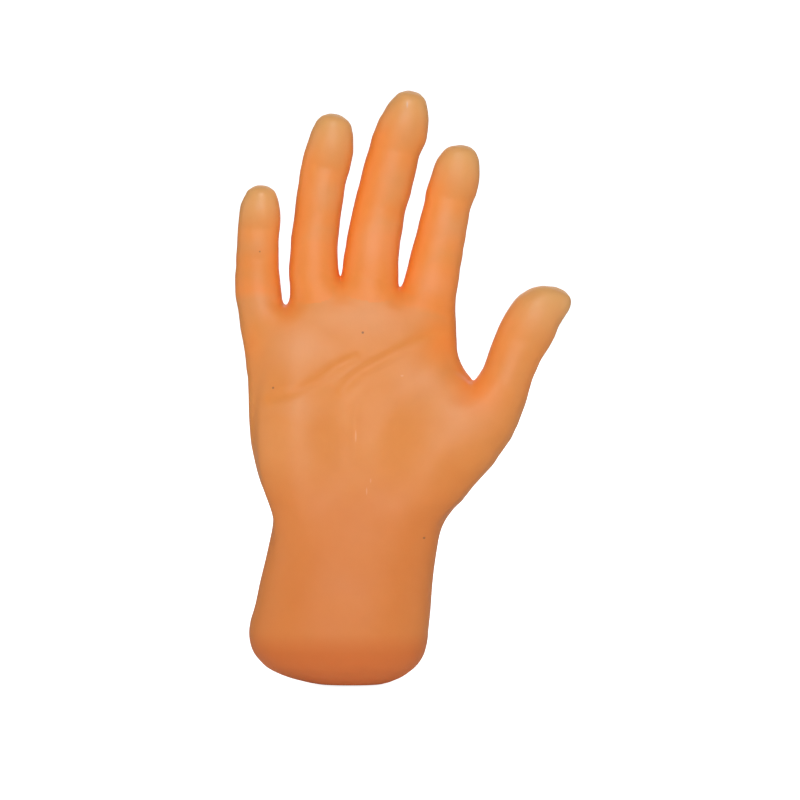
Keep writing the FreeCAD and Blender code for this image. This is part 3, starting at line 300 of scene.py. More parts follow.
DIGITS = {
    "little": Finger(OUTLINES["little"], tip=(-35.84, 214.61), lean=1.57,
                     hinges=(19.0, 32.5, 46.0), nail=(5.6, 5.0, 7.0), curl=7.5, thickness=0.88),
    "ring": Finger(OUTLINES["ring"], tip=(-4.42, 245.15), lean=8.21,
                   hinges=(24.5, 44.3, 64.0), nail=(6.5, 5.9, 8.0), curl=9.5, thickness=0.96),
    "middle": Finger(OUTLINES["middle"], tip=(28.01, 255.05), lean=13.06,
                     hinges=(27.5, 52.0, 77.0), nail=(6.5, 5.9, 8.0), curl=10.5, thickness=1.0),
    "index": Finger(OUTLINES["index"], tip=(51.05, 231.85), lean=12.82,
                    hinges=(24.0, 42.0, 59.3), nail=(6.5, 5.9, 8.0), curl=8.5, thickness=0.98),
    "thumb": Thumb(OUTLINES["thumb"], tip=(87.44, 171.64), lean=23.79,
                   hinges=(27.0,), nail=(7.3, 6.9, 9.2)),
}
THUMB = DIGITS["thumb"]
FINGERS = [name for name in DIGITS if name != "thumb"]

# ------------------------------------------------------------------ palm and wrist
# Rows: height, x of the -X edge, x of the +X edge, thickness in front (-Y) and behind (+Y).
PALM = [
    (-0.6, 3.4, 3.5, 0.0, 0.0), (-0.35, -7.7, 14.6, 8.0, 8.0), (0.1, -10.2, 17.0, 9.4, 9.4),
    (0.5, -13.2, 18.8, 10.8, 10.8), (1.8, -18.9, 22.3, 13.4, 13.4), (2.7, -22.3, 24.5, 15.0, 15.0),
    (5.3, -29.1, 28.5, 18.2, 18.2), (7.8, -33.4, 31.5, 20.4, 20.4), (10.4, -36.0, 33.5, 21.9, 21.9),
    (13.0, -38.1, 34.9, 22.9, 22.9), (15.6, -39.4, 35.7, 23.6, 23.6),
    (18.4, -40.2, 36.3, 24.0, 24.0), (22.0, -40.6, 36.7, 24.3, 24.3),
    (26.1, -40.2, 37.1, 24.2, 24.2), (33.8, -38.0, 37.8, 23.5, 23.4),
    (44.2, -35.8, 38.6, 22.4, 22.0), (54.5, -33.3, 39.9, 21.0, 20.4),
    (64.8, -31.0, 41.7, 19.6, 18.6), (70.0, -30.2, 43.7, 18.8, 17.8),
    (75.1, -30.6, 47.3, 18.0, 17.2), (80.3, -32.8, 51.6, 17.0, 16.6),
    (88.0, -36.0, 54.0, 15.6, 15.8), (95.8, -38.1, 55.2, 14.4, 15.2),
    (106.1, -40.0, 56.5, 13.4, 14.6), (121.6, -40.8, 57.3, 12.8, 14.2),
    (129.3, -41.1, 56.6, 12.7, 14.0), (131.9, -41.2, 55.2, 12.7, 13.9),
    (134.5, -41.3, 53.0, 12.7, 13.8), (137.0, -41.4, 51.5, 12.7, 13.7),
    (139.6, -41.5, 50.2, 12.7, 13.6), (144.8, -42.2, 48.4, 12.7, 13.3),
    (149.9, -43.1, 47.3, 12.3, 12.8), (155.1, -44.1, 47.0, 11.5, 12.2),
    (160.3, -44.7, 46.8, 10.5, 11.4), (168.0, -44.6, 46.5, 8.8, 10.2),
    (185.0, -43.5, 46.0, 8.0, 9.0)]
PALM_Z, PALM_LEFT, PALM_RIGHT, PALM_FRONT, PALM_BACK = np.array(PALM).T


def palm_curve(values):
    return round_end(PALM_Z, values, smooth=4.0, start=14.0, span=10.0)


palm_half = palm_curve((PALM_RIGHT - PALM_LEFT) / 2)
palm_front, palm_back = palm_curve(PALM_FRONT), palm_curve(PALM_BACK)
palm_centre = Curve(PALM_Z, (PALM_RIGHT + PALM_LEFT) / 2, smooth=1.5)
# height of the palm's upper edge, over x
palm_top = Curve([-60, -46, -34, -25, -12, -0.4, 12, 25.4, 36, 46, 70],
                 [156, 159.0, 163, 162.0, 170, 172.0, 172, 168.2, 167, 163.0, 158])


# ------------------------------------------------------------------ fields, negative inside
def smooth_min(a, b, width):
    overlap = np.maximum(width - np.abs(a - b), 0) / width
    return np.minimum(a, b) - overlap * overlap * width * 0.25


def smooth_max(a, b, width):
    return -smooth_min(-a, -b, width)


def superellipse(across, depth, half_across, half_depth, power):
    """Distance-like field of a superellipse."""
    half_across, half_depth = np.maximum(half_across, 0.05), np.maximum(half_depth, 0.05)
    u, v = np.abs(across) / half_across, np.abs(depth) / half_depth
    radius = np.maximum((u**power + v**power) ** (1 / power), 1e-4)
    slope = radius ** (1 - power) * np.sqrt(
        (u ** (power - 1) / half_across) ** 2 + (v ** (power - 1) / half_depth) ** 2)
    slope = np.maximum(slope, 1 / np.maximum(half_across, half_depth))
    return np.maximum((radius - 1) / slope, -np.minimum(half_across, half_depth))


def ellipsoid(x, y, z, centre, radii, lean):
    lean = math.radians(lean)
    dx, dy, dz = x - centre[0], y - centre[1], z - centre[2]
    u = dx * math.cos(lean) - dz * math.sin(lean)
    w = dx * math.sin(lean) + dz * math.cos(lean)
    rx, ry, rz = radii
    radius = np.sqrt((u / rx) ** 2 + (dy / ry) ** 2 + (w / rz) ** 2)
    slope = np.sqrt((u / rx**2) ** 2 + (dy / ry**2) ** 2 + (w / rz**2) ** 2)
    return radius * (radius - 1) / np.maximum(slope, 1e-6)


def digit_field(name, x, y, z):
    """Field of a digit, with the place along it, across it and in depth."""
    digit = DIGITS[name]
    along, across = digit.local(x, z)
    inside = np.maximum(along, digit.start + 0.55)
    left, right, thickness = digit.left(inside), digit.right(inside), digit.thickness(inside)
    depth = y - digit.middle_y(along)
    if name != "thumb":
        # the root thins out inside the palm
        knuckle = digit.hinges[2]
        thickness = thickness * (
            1 - 0.72 * ease((along - knuckle - 9.0) / (digit.end - knuckle - 6.0)))
    front, back = thickness, thickness
    for place, height, width in digit.front_swells:
        front = front + height * bell((along - place) / width)
    for place, height, width in digit.back_swells:
        back = back + height * bell((along - place) / width)
    field = superellipse(across - (right - left) / 2, depth, (left + right) / 2,
                         np.where(depth < 0, front, back), power=2.18)
    # rounded off just short of the tip
    field = smooth_max(field, digit.start - along, 2.4)
    beyond = np.maximum(along - digit.end, 0)
    field = np.where(beyond > 0, np.sqrt(np.maximum(field, 0) ** 2 + beyond**2), field)
    return field, along, across, depth


def palm_field(x, y, z):
    thickness = np.where(y < 0, palm_front(z), palm_back(z))
    power = 2.3 + 0.25 * unit((z - 75) / 30)
    field = superellipse(x - palm_centre(z), y, palm_half(z), thickness, power)
    bottom, _, bottom_x = PALM[0][0], None, PALM[0][1]
    below = np.maximum(bottom - z, 0)
    under = np.sqrt((x - bottom_x) ** 2 * 0.02 + y * y * 0.02 + below**2)
    field = np.where(below > 0, under, field)
    return smooth_max(field, (z - palm_top(x)) * 0.9, 9.0)


def hand_field(x, y, z):
    """The whole hand, before its surface details."""
    field = palm_field(x, y, z)
    # swells at the root of the thumb and on the little finger's side, soft on the palm side only
    width = 1.5 + 12.5 * ease(-y / 11.0)
    for centre, radii, lean in (((40.5, -4.6, 102.5), (16.5, 12.6, 26.0), 20.0),
                                ((-20.0, -2.6, 102.0), (13.0, 11.2, 34.0), 0.0)):
        field = smooth_min(field, ellipsoid(x, y, z, centre, radii, lean), width)
    # the fold between thumb and palm stays sharp at its foot
    width = 6.0 - 5.0 * spot(x, z, 56.0, 134.0, 9.0, 9.0)
    field = smooth_min(field, digit_field("thumb", x, y, z)[0], width)
    fingers = reduce(lambda a, b: smooth_min(a, b, 1.2),
                     (digit_field(name, x, y, z)[0] for name in FINGERS))
    return smooth_min(field, fingers, 5.0)


# ------------------------------------------------------------------ surface details
def line_distance(x, z, points):
    """Distance in the palm plane to a polyline, and the fraction along it."""
    nearest = np.full(x.shape, 1e9)
    fraction = np.zeros(x.shape)
    lengths = [math.dist(a, b) for a, b in zip(points, points[1:])]
    total, done = sum(lengths), 0.0
    for (ax, az), (bx, bz), length in zip(points, points[1:], lengths):
        t = unit(((x - ax) * (bx - ax) + (z - az) * (bz - az)) / (length * length))
        distance = np.hypot(x - ax - t * (bx - ax), z - az - t * (bz - az))
        closer = distance < nearest
        nearest = np.where(closer, distance, nearest)
        fraction = np.where(closer, (done + t * length) / total, fraction)
        done += length
    return nearest, fraction


def spline(points):
    """Smooth curve through points in the palm plane, as 24 points."""
    points = np.array(points, float)
    run = np.r_[0, np.cumsum(np.hypot(*np.diff(points, axis=0).T))]
    at = np.linspace(0, run[-1], 24)
    return list(zip(pchip(run, points[:, 0], at), pchip(run, points[:, 1], at)))


# Palm lines: (x, z) points, depth, half-width.
PALM_LINES = [
    (spline([(-33.0, 122.6), (-30.0, 123.3), (-20.6, 125.9), (-12.0, 130.2), (-5.2, 134.9),
             (1.0, 138.5), (8.0, 141.5)]), 0.72, 1.6),
    (spline([(-2.0, 124.5), (0.0, 127.1), (5.2, 132.7), (12.0, 137.0), (17.2, 139.6),
             (26.7, 144.8), (35.3, 149.1), (46.0, 153.0)]), 0.68, 1.7),
    (spline([(17.0, 126.5), (11.5, 125.0), (7.7, 123.0), (5.4, 118.1), (5.0, 107.0),
             (6.0, 94.0)]), 0.22, 1.3),
]
# Palm pads: x, z, height, width in x, width in z.
PALM_PADS = [(-35.5, 165, 0.5, 5.0, 4.5), (-19, 145, 1.0, 9.0, 7.5), (6, 157, 0.7, 16.0, 5.5),
             (30, 158, 0.6, 8.0, 5.0), (-19, 118, 0.5, 9, 5), (50, 119, 0.5, 9, 9)]
# Knuckles on the back: x, z.
KNUCKLES = [(-36.0, 167.5), (-13.5, 180.0), (10.5, 178.5), (38.0, 173.0)]


def digit_displacement(name, x, y, z):
    digit = DIGITS[name]
    out = np.zeros(x.shape)
    along, across = digit.local(x, z)
    breadth = np.maximum(digit.left(along), digit.right(along))
    near = unit((breadth + 2.5 - np.abs(across)) / 2.0)
    near = near * (along > -3) * (along < digit.hinges[-1] + 9)
    depth = y - digit.middle_y(along)
    front, back = unit(-depth / 3.0) * near, unit(depth / 3.0) * near
    for place, bow, sink in digit.creases:
        crease = place + bow * 0.012 * across * across
        out += sink * bell((along - crease) / 1.5) * front
    if name != "thumb":
        # wrinkles over the middle hinge, and one over the hinge nearest the tip
        for offset in (-2.6, 0.0, 2.6):
            bowed = along - digit.hinges[1] - offset + 0.05 * across * across * np.sign(offset)
            out += 0.22 * bell(bowed / 0.8) * back * unit(1 - np.abs(across) / 8)
        wrinkle = bell((along - digit.hinges[0]) / 0.8)
        out += 0.16 * wrinkle * back * unit(1 - np.abs(across) / 7)
    # nail: a plate set in a fold on the back of the tip
    edge = (digit.nail_radius(along, across) - 1.0) * digit.nail[1]
    fold = 0.42 * bell(edge / 0.7) * unit((along - 2.0) / 3.0)
    return out + (fold - 0.10 * (edge < 0)) * back


def displacement(x, y, z):
    """How far the surface sinks (+) or swells (-)."""
    palm = unit((z - 66) / 12) * unit((176 - z) / 8)
    front, back = unit(-(y + 3.0) / 5.0), unit((y - 3.0) / 5.0)
    out = spot(x, z, 6, 118, 16, 22) * front * palm
    for x0, z0, height, width_x, width_z in PALM_PADS:
        out -= height * spot(x, z, x0, z0, width_x, width_z) * front
    for x0, z0 in KNUCKLES:
        out -= spot(x, z, x0, z0, 6.0, 6.5) * back
        out += 0.5 * spot(x, z, x0 - 0.5, z0 - 17.0, 3.5, 7.0) * back
    for points, sink, width in PALM_LINES:
        distance, fraction = line_distance(x, z, points)
        ends = unit(fraction / 0.12) * unit((1 - fraction) / 0.15)
        fade = (0.35 + 0.65 * ends) * unit(ends * 4)
        out += sink * bell(distance / width) * fade * front * palm
    for name in DIGITS:
        out += digit_displacement(name, x, y, z)
    return out


# ------------------------------------------------------------------ meshing
def grid_axes(low, high, spacing):
    counts = np.ceil((np.array(high) - np.array(low)) / spacing).astype(int) + 1
    return [low[k] + spacing * np.arange(counts[k]) for k in range(3)]


def trilinear(grid, points, origin, spacing):
    place = (points - origin) / spacing
    i = np.clip(np.floor(place).astype(int), 0, np.array(grid.shape[:3]) - 2)
    f = place - i
    out = 0
    for dx in (0, 1):
        for dy in (0, 1):
            for dz in (0, 1):
                weight = ((f[:, 0] if dx else 1 - f[:, 0]) * (f[:, 1] if dy else 1 - f[:, 1])
                          * (f[:, 2] if dz else 1 - f[:, 2]))
                value = grid[i[:, 0] + dx, i[:, 1] + dy, i[:, 2] + dz]
                out = out + (weight[:, None] * value if value.ndim > 1 else weight * value)
    return out


def surface_nets(field, origin, spacing):
    """Quads of the zero surface: one vertex per crossed cell, one face per crossed grid edge."""
    cells = tuple(n - 1 for n in field.shape)
    total = cells[0] * cells[1] * cells[2]
    sums = np.zeros((3, total))
    counts = np.zeros(total)
    quads = []
    for axis in range(3):
        low, high = [slice(None)] * 3, [slice(None)] * 3
        low[axis], high[axis] = slice(0, -1), slice(1, None)
        before, after = field[tuple(low)], field[tuple(high)]
        crossed = np.argwhere((before < 0) != (after < 0))
        start, end = before[tuple(crossed.T)], after[tuple(crossed.T)]
        crossing = crossed.astype(float)
        crossing[:, axis] += start / (start - end)
        u, v = (axis + 1) % 3, (axis + 2) % 3
        corners = []
        whole = np.ones(len(crossed), bool)
        for du, dv in ((1, 1), (0, 1), (0, 0), (1, 0)):
            cell = crossed.copy()
            cell[:, u] -= du
            cell[:, v] -= dv
            good = (cell >= 0).all(1) & (cell < np.array(cells)).all(1)
            whole &= good
            number = (cell[:, 0] * cells[1] + cell[:, 1]) * cells[2] + cell[:, 2]
            number = np.where(good, number, 0)
            for k in range(3):
                sums[k] += np.bincount(
                    number[good], weights=crossing[good, k], minlength=total)
            counts += np.bincount(number[good], minlength=total)
            corners.append(number)
        quad = np.stack(corners, 1)
        flip = start > 0
        quad[flip] = quad[flip][:, ::-1]
        quads.append(quad[whole])
    used = np.flatnonzero(counts)
    index = np.full(total, -1)
    index[used] = np.arange(len(used))
    verts = (sums[:, used] / counts[used]).T * spacing + origin
    return verts, index[np.concatenate(quads)]


def face_edges(faces):
    return np.concatenate([faces[:, [k, (k + 1) % 4]] for k in range(4)])


def open_edges(faces, vert_count):
    """Edges that belong to one face only."""
    edges = face_edges(faces)
    key = np.sort(edges, 1) @ np.array([vert_count, 1])
    _, first, count = np.unique(key, return_index=True, return_counts=True)
    return edges[first[count == 1]]


def relax(verts, faces, rounds, amount):
    a, b = face_edges(faces).T
    n = len(verts)
    degree = np.bincount(a, minlength=n) + np.bincount(b, minlength=n)
    for _ in range(rounds):
        sums = np.stack([np.bincount(a, weights=verts[b, k], minlength=n)
                         + np.bincount(b, weights=verts[a, k], minlength=n)
                         for k in range(3)], 1)
        verts = verts + amount * (sums / np.maximum(degree, 1)[:, None] - verts)
    return verts


def build_surface(spacing):
    low = np.array(SKIN_LOW)
    axes = grid_axes(low, SKIN_HIGH, spacing)
    field = np.empty(tuple(len(axis) for axis in axes), np.float32)
    slab = 24  # worked in slabs, to keep memory small
    for i in range(0, len(axes[0]), slab):
        x, y, z = np.meshgrid(axes[0][i:i + slab], axes[1], axes[2], indexing="ij")
        shape = hand_field(x, y, z)
        near = np.abs(shape) < 3.5
        detail = np.zeros_like(shape)
        detail[near] = displacement(x[near], y[near], z[near])
        field[i:i + slab] = shape + detail
    field = field.astype(float)
    verts, faces = surface_nets(field, low, spacing)
    slopes = np.stack(np.gradient(field, spacing), -1)
    # draw the vertices onto the surface, evening them out between steps
    for _ in range(3):
        value = trilinear(field, verts, low, spacing)
        slope = trilinear(slopes, verts, low, spacing)
        move = -(value / np.maximum((slope * slope).sum(1), 0.05))[:, None] * slope
        length = np.linalg.norm(move, axis=1, keepdims=True)
        verts = verts + move * np.minimum(1, 0.4 * spacing / np.maximum(length, 1e-9))
        verts = relax(verts, faces, rounds=1, amount=0.35)
    return verts, faces


def vertex_normals(verts, faces):
    a, b, c, d = (verts[faces[:, k]] for k in range(4))
    normal = np.cross(c - a, d - b)
    out = np.stack([
        sum(np.bincount(faces[:, k], weights=normal[:, j], minlength=len(verts))
            for k in range(4)) for j in range(3)], 1)
    return out / np.maximum(np.linalg.norm(out, axis=1, keepdims=True), 1e-12)


# ------------------------------------------------------------------ parting into pieces
# Bending zones and lower cuts of each finger, back from its tip: base, middle, tip.
ZONES = {
    "little": ((40.5, 50.5), (27.5, 37.5), (14.5, 23.5)),
    "ring": ((57.5, 69.5), (37.0, 51.5), (18.0, 31.0)),
    "middle": ((70.0, 82.5), (44.5, 59.5), (20.5, 34.5)),
    "index": ((52.5, 63.5), (35.5, 48.5), (18.0, 30.0)),
}
CUTS = {"little": (51.0, 39.0, 25.5), "ring": (70.0, 54.5, 34.0),
        "middle": (83.0, 64.8, 39.5), "index": (64.0, 50.5, 32.8)}
# Name of the skin piece, of the CAD node, and of the two parts whose hinge it covers.
SEGMENTS = [("base", "proximal", "palm", "{}_proximal"),
            ("middle", "middle", "{}_proximal", "{}_middle"),
            ("tip", "tip", "{}_middle", "{}_distal")]
THUMB_CUT = 40.0
THUMB_ZONE = (19.0, 35.0)
# Fold between palm and thumb: a point and a normal in the XZ plane, and the bending range.
FOLD_POINT, FOLD_NORMAL, FOLD_RANGE = (51.17, 139.6), (0.9927, -0.1208), (-2.0, 9.6)
PALM_LABEL, THUMB_LABEL = 0, 13


def segment_label(level, finger):
    """1-4 are the bases, 5-8 the middles and 9-12 the tips."""
    return 1 + len(FINGERS) * level + finger


def label_faces(verts, faces):
    """Piece index of each face."""
    x, y, z = verts[faces].mean(1).T
    fields = [digit_field(name, x, y, z)[:2] for name in DIGITS]
    distance = np.array([field for field, _ in fields])
    along = np.array([place for _, place in fields])
    owner = distance.argmin(0)
    labels = np.full(len(x), PALM_LABEL)
    for i, name in enumerate(FINGERS):
        mine = (owner == i) & (distance[i] < 3.0)
        for level, cut in enumerate(CUTS[name]):
            labels[mine & (along[i] < cut)] = segment_label(level, i)
    labels[(owner == 4) & (along[4] < THUMB_CUT) & (distance[4] < 3.0)] = THUMB_LABEL
    return labels


def clean_labels(labels, faces, vert_count):
    """Removes single-face teeth along the cuts by a majority vote over neighbours."""
    for _ in range(3):
        votes = np.zeros((vert_count, THUMB_LABEL + 1), np.int16)
        for k in range(4):
            np.add.at(votes, (faces[:, k], labels), 1)
        face_votes = votes[faces].sum(1)
        best = face_votes.argmax(1)
        labels = np.where(face_votes[np.arange(len(labels)), best] > 8, best, labels)
    return labels


def open_mouth(verts, faces, labels):
    """Cuts the wrist's mouth, and draws its rim to a circle."""
    x, y, z = verts[faces].mean(1).T
    keep = ~((np.hypot(x, y) < 8.6) & (z < 5))
    faces, labels = faces[keep], labels[keep]
    rim = np.unique(open_edges(faces, len(verts)))
    rim = rim[(verts[rim, 2] < 5) & (np.hypot(verts[rim, 0], verts[rim, 1]) < 12)]
    radius = np.hypot(verts[rim, 0], verts[rim, 1])
    verts[rim, :2] *= (MOUTH_RADIUS / radius)[:, None]
    return faces, labels


def smooth_object(name, verts, faces, material):
    mesh = bpy.data.meshes.new(name)
    mesh.from_pydata(verts, [], faces)
    mesh.update()
    mesh.shade_smooth()
    obj = bpy.data.objects.new(name, mesh)
    bpy.context.scene.collection.objects.link(obj)
    mesh.materials.append(material)
    return obj


def wall_piece(name, verts, normals, faces, masks, material):
    """A closed moulding: outer faces, the same set in by the wall, and a rim joining them."""
    used = np.unique(faces)
    index = np.full(len(verts), -1)
    index[used] = np.arange(len(used))
    outer, points, normal = index[faces], verts[used], normals[used]
    n = len(points)
    a, b = open_edges(outer, n).T
    rim = np.stack([b, a, a + n, b + n], 1)
    all_faces = np.concatenate([outer, outer[:, ::-1] + n, rim])
    all_verts = np.concatenate([points, points - normal * WALL]) * MM
    obj = smooth_object(name, all_verts.tolist(), all_faces.tolist(), material)
    for key, value in masks.items():
        layer = obj.data.color_attributes.new(key, "FLOAT_COLOR", "POINT")
        values = np.concatenate([value[used], value[used]]).astype(np.float32)
        layer.data.foreach_set("color", values.ravel())
    obj.data.normals_split_custom_set_from_vertices(np.concatenate([normal, -normal]).tolist())
    return obj


# ------------------------------------------------------------------ colour masks
# Painted glow along the edges of each digit, for light through the thin rubber: strength, and the
# place where it ends.
EDGE_GLOW = {"little": (0.6, 47.0), "ring": (0.75, 83.0), "middle": (0.95, 94.0),
             "index": (0.95, 73.0), "thumb": (0.55, 49.0)}
# Painted highlights on the pads of each digit: place, length, strength.
DIGIT_PAD_HIGHLIGHTS = {
    "little": ((9.0, 4.5, 0.4), (26.0, 4.0, 0.35), (48.0, 5.0, 0.5)),
    "ring": ((12.0, 5.0, 0.3), (35.0, 6.0, 0.4), (55.0, 6.0, 0.3)),
    "middle": ((12.0, 6.0, 0.3), (40.0, 7.0, 0.3), (66.0, 6.5, 0.95)),
    "index": ((12.0, 5.0, 0.3), (37.0, 5.0, 0.65), (60.0, 4.5, 0.8)),
    "thumb": ((13.0, 6.0, 0.4), (44.0, 8.0, 0.2)),
}
# Painted glow at the webs and edges, for light through the thin rubber: x, z, radius, strength.
GLOW_SPOTS = [
    (-24.5, 163.5, 5.0, 0.5), (-0.5, 173.0, 5.0, 0.6), (25.0, 170.0, 5.5, 0.6),
    (57.0, 129.5, 6.5, 0.75), (43.0, 148.0, 6.0, 0.55), (46.0, 158.0, 4.0, 0.4),
    (-40.0, 146.0, 4.0, 0.3)]
# Painted highlights on the pads of the palm: x, z, width in x, width in z, strength.
PALM_PAD_HIGHLIGHTS = [
    (-19, 145, 8.5, 7.5, 1.0), (7, 157.5, 17, 5, 0.75), (-35.7, 165, 5, 5, 0.8),
    (-19, 119.5, 8, 4.5, 0.6), (52, 119, 10, 9, 0.95), (36, 127, 9, 8, 0.6),
    (-26, 104, 8, 12, 0.25)]


def digit_masks(name, x, y, z):
    """Tip, painted glow, painted pad highlight and nail masks of one digit."""
    digit = DIGITS[name]
    distance, along, across, depth = digit_field(name, x, y, z)
    half = (digit.left(along) + digit.right(along)) / 2
    own = unit((2.5 - distance) / 2)
    front = unit(-depth / 3)
    reach = 16.0 if name == "thumb" else 13.5
    tip = own * np.exp(-(np.maximum(along, 0) / reach) ** 1.35)
    # painted glow on the sides of the digit and at its hinges
    # stronger towards -X, but towards +X on the little finger
    strength, glow_end = EDGE_GLOW[name]
    flip = -1 if name == "little" else 1
    side = unit((0.35 * half - flip * across) / (1.25 * half)) ** 1.25
    length = unit((along - 5) / 16) * unit((glow_end + 3 - along) / 8)
    glow = strength * own * side * length
    other = unit((across - 0.45 * half) / (0.55 * half)) ** 2
    glow = np.maximum(glow, 0.45 * own * other * length)
    if name != "thumb":
        tip_hinge, mid_hinge, _ = digit.hinges
        root = (unit((along - mid_hinge - 2) / 10)
                * unit((glow_end + 2 - along + 0.02 * across * across) / 4))
        near = unit((half + 3 - np.abs(across)) / 3)
        glow = np.maximum(glow, 0.42 * root * near * front * (distance < 3))
        for place in (tip_hinge + 2.0, mid_hinge + 1.0):
            glow = np.maximum(glow, 0.26 * own * bell((along - place) / 3.6))
    # painted highlight: lighter, pinker pads on the palm side of the digit
    pad = np.zeros(len(x))
    for place, size, amount in DIGIT_PAD_HIGHLIGHTS[name]:
        bump = spot(along, across, place, 0.12 * half, size, 0.6 * half)
        pad = np.maximum(pad, amount * own * front * bump)
    nail = own * unit((1.0 - digit.nail_radius(along, across)) / 0.08) * unit(depth / 2.5)
    return tip, glow, pad, nail


def colour_masks(points):
    """Per-point masks that drive the colour, as two colour attributes."""
    x, y, z = points.T
    blank = np.zeros((4, len(points)))
    each = (np.stack(digit_masks(name, x, y, z)) for name in DIGITS)
    tip, glow, pad, nail = reduce(np.maximum, each, blank)
    front = unit(-(y + 3) / 5)
    crease = np.zeros(len(points))
    # painted shade along the palm lines
    for line, sink, _ in PALM_LINES:
        distance, _ = line_distance(x, z, line)
        crease = np.maximum(crease, sink / 0.75 * bell(distance / 2.2) * front)
    for x0, z0, radius, amount in GLOW_SPOTS:
        glow = np.maximum(glow, amount * spot(x, z, x0, z0, radius, radius * 1.2))
    # painted highlight on the pads of the palm
    for x0, z0, width_x, width_z, amount in PALM_PAD_HIGHLIGHTS:
        pad = np.maximum(pad, amount * front * spot(x, z, x0, z0, width_x, width_z))
    # painted shade: darker and redder towards the bottom of the palm and the wrist
    wrist = np.maximum(ease((33 - z) / 22), 0.42 * ease((104 - z) / 34))
    pack = lambda *masks: np.stack([unit(mask) for mask in masks] + [np.ones(len(points))], 1)
    return {"zones": pack(tip, glow, pad), "zones2": pack(wrist, crease, nail)}


# ------------------------------------------------------------------ materials
class Material:
    """Short way to write a node tree. Inputs take a value or another node's output."""

    def __init__(self, name):
        self.mat = bpy.data.materials.new(name)
        self.mat.use_nodes = True
        self.tree = self.mat.node_tree
        self.tree.nodes.clear()
        self.out = self.add("OutputMaterial")

    def put(self, socket, value):
        if isinstance(value, bpy.types.NodeSocket):
            self.tree.links.new(value, socket)
        elif socket.type == "RGBA":
            socket.default_value = (*value, 1)
        else:
            socket.default_value = value

    def add(self, kind, inputs=None, **settings):
        node = self.tree.nodes.new("ShaderNode" + kind)
        for key, value in settings.items():
            setattr(node, key, value)
        for key, value in (inputs or {}).items():
            self.put(node.inputs[key], value)
        return node

    def coord(self, scale=(1, 1, 1)):
        place = self.add("TexCoord").outputs["Object"]
        return self.add("Mapping", {"Vector": place, "Scale": scale}).outputs[0]

    def noise(self, vector, scale, detail=2.0, rough=0.5):
        return self.add("TexNoise", {"Vector": vector, "Scale": scale, "Detail": detail,
                                     "Roughness": rough}).outputs["Fac"]

    def voronoi(self, vector, scale):
        return self.add("TexVoronoi", {"Vector": vector, "Scale": scale}).outputs["Distance"]

    def remap(self, value, from_range, to_range):
        return self.add("MapRange", {
            "Value": value, "From Min": from_range[0], "From Max": from_range[1],
            "To Min": to_range[0], "To Max": to_range[1]}).outputs["Result"]

    def mix(self, factor, a, b, blend="MIX"):
        # 0, 6 and 7 are the factor and the two colour inputs
        return self.add("Mix", {0: factor, 6: a, 7: b}, data_type="RGBA",
                        blend_type=blend).outputs[2]

    def math(self, operation, a, b):
        return self.add("Math", {0: a, 1: b}, operation=operation).outputs[0]

    def tint(self, base, mask, strength, colour):
        return self.mix(self.math("MULTIPLY", mask, strength), base, colour)

    def bump(self, height, distance, strength):
        return self.add("Bump", {"Distance": distance, "Strength": strength,
                                 "Height": height}).outputs[0]

    def principled(self, **inputs):
        inputs = {key.replace("_", " "): value for key, value in inputs.items()}
        self.put(self.out.inputs[0], self.add("BsdfPrincipled", inputs).outputs[0])
        return self.mat


# linear colours of the glove
BASE_A, BASE_B = (0.775, 0.266, 0.057), (0.815, 0.294, 0.070)
# painted highlight: lighter, pinker colour on the pads
PAD_HIGHLIGHT = (0.83, 0.355, 0.148)
# painted glow, for light through the thin rubber
GLOW = (0.98, 0.245, 0.027)
TIP = (0.79, 0.412, 0.148)
# painted shade, darker and redder towards the bottom of the palm and the wrist
WRIST_SHADE = (0.69, 0.160, 0.033)
# painted light: lighter towards the bottom edge of the wrist, on its shaded underside
WRIST_UNDERSIDE_LIGHT = (0.90, 0.28, 0.085)
# painted shade in the palm creases
CREASE_SHADE = (0.80, 0.26, 0.040)
NAIL = (0.86, 0.47, 0.22)
GRAIN = (0.86, 0.80, 0.74)
SPECK = (0.25, 0.12, 0.06)
DARK, PALE, GREY = (0.16, 0.07, 0.04), (0.95, 0.55, 0.32), (0.72, 0.50, 0.42)
# Small marks on the palm side: x, z, half-width, half-height, strength, colour.
MARKS = [
    (8.6, 151.2, 0.55, 0.55, 0.75, DARK), (-29.7, 127.6, 0.5, 0.5, 0.7, DARK),
    (34.8, 63.5, 0.6, 0.5, 0.65, DARK), (-35.6, 186.0, 0.4, 0.4, 0.5, DARK),
    (27.6, 248.2, 0.45, 1.5, 0.45, GREY), (5.6, 107.0, 0.35, 2.6, 0.35, PALE),
    (10.3, 83.5, 0.3, 1.6, 0.32, PALE), (25.4, 132.8, 0.7, 0.4, 0.32, PALE),
    (12.0, 88.0, 0.3, 1.0, 0.25, PALE),
]


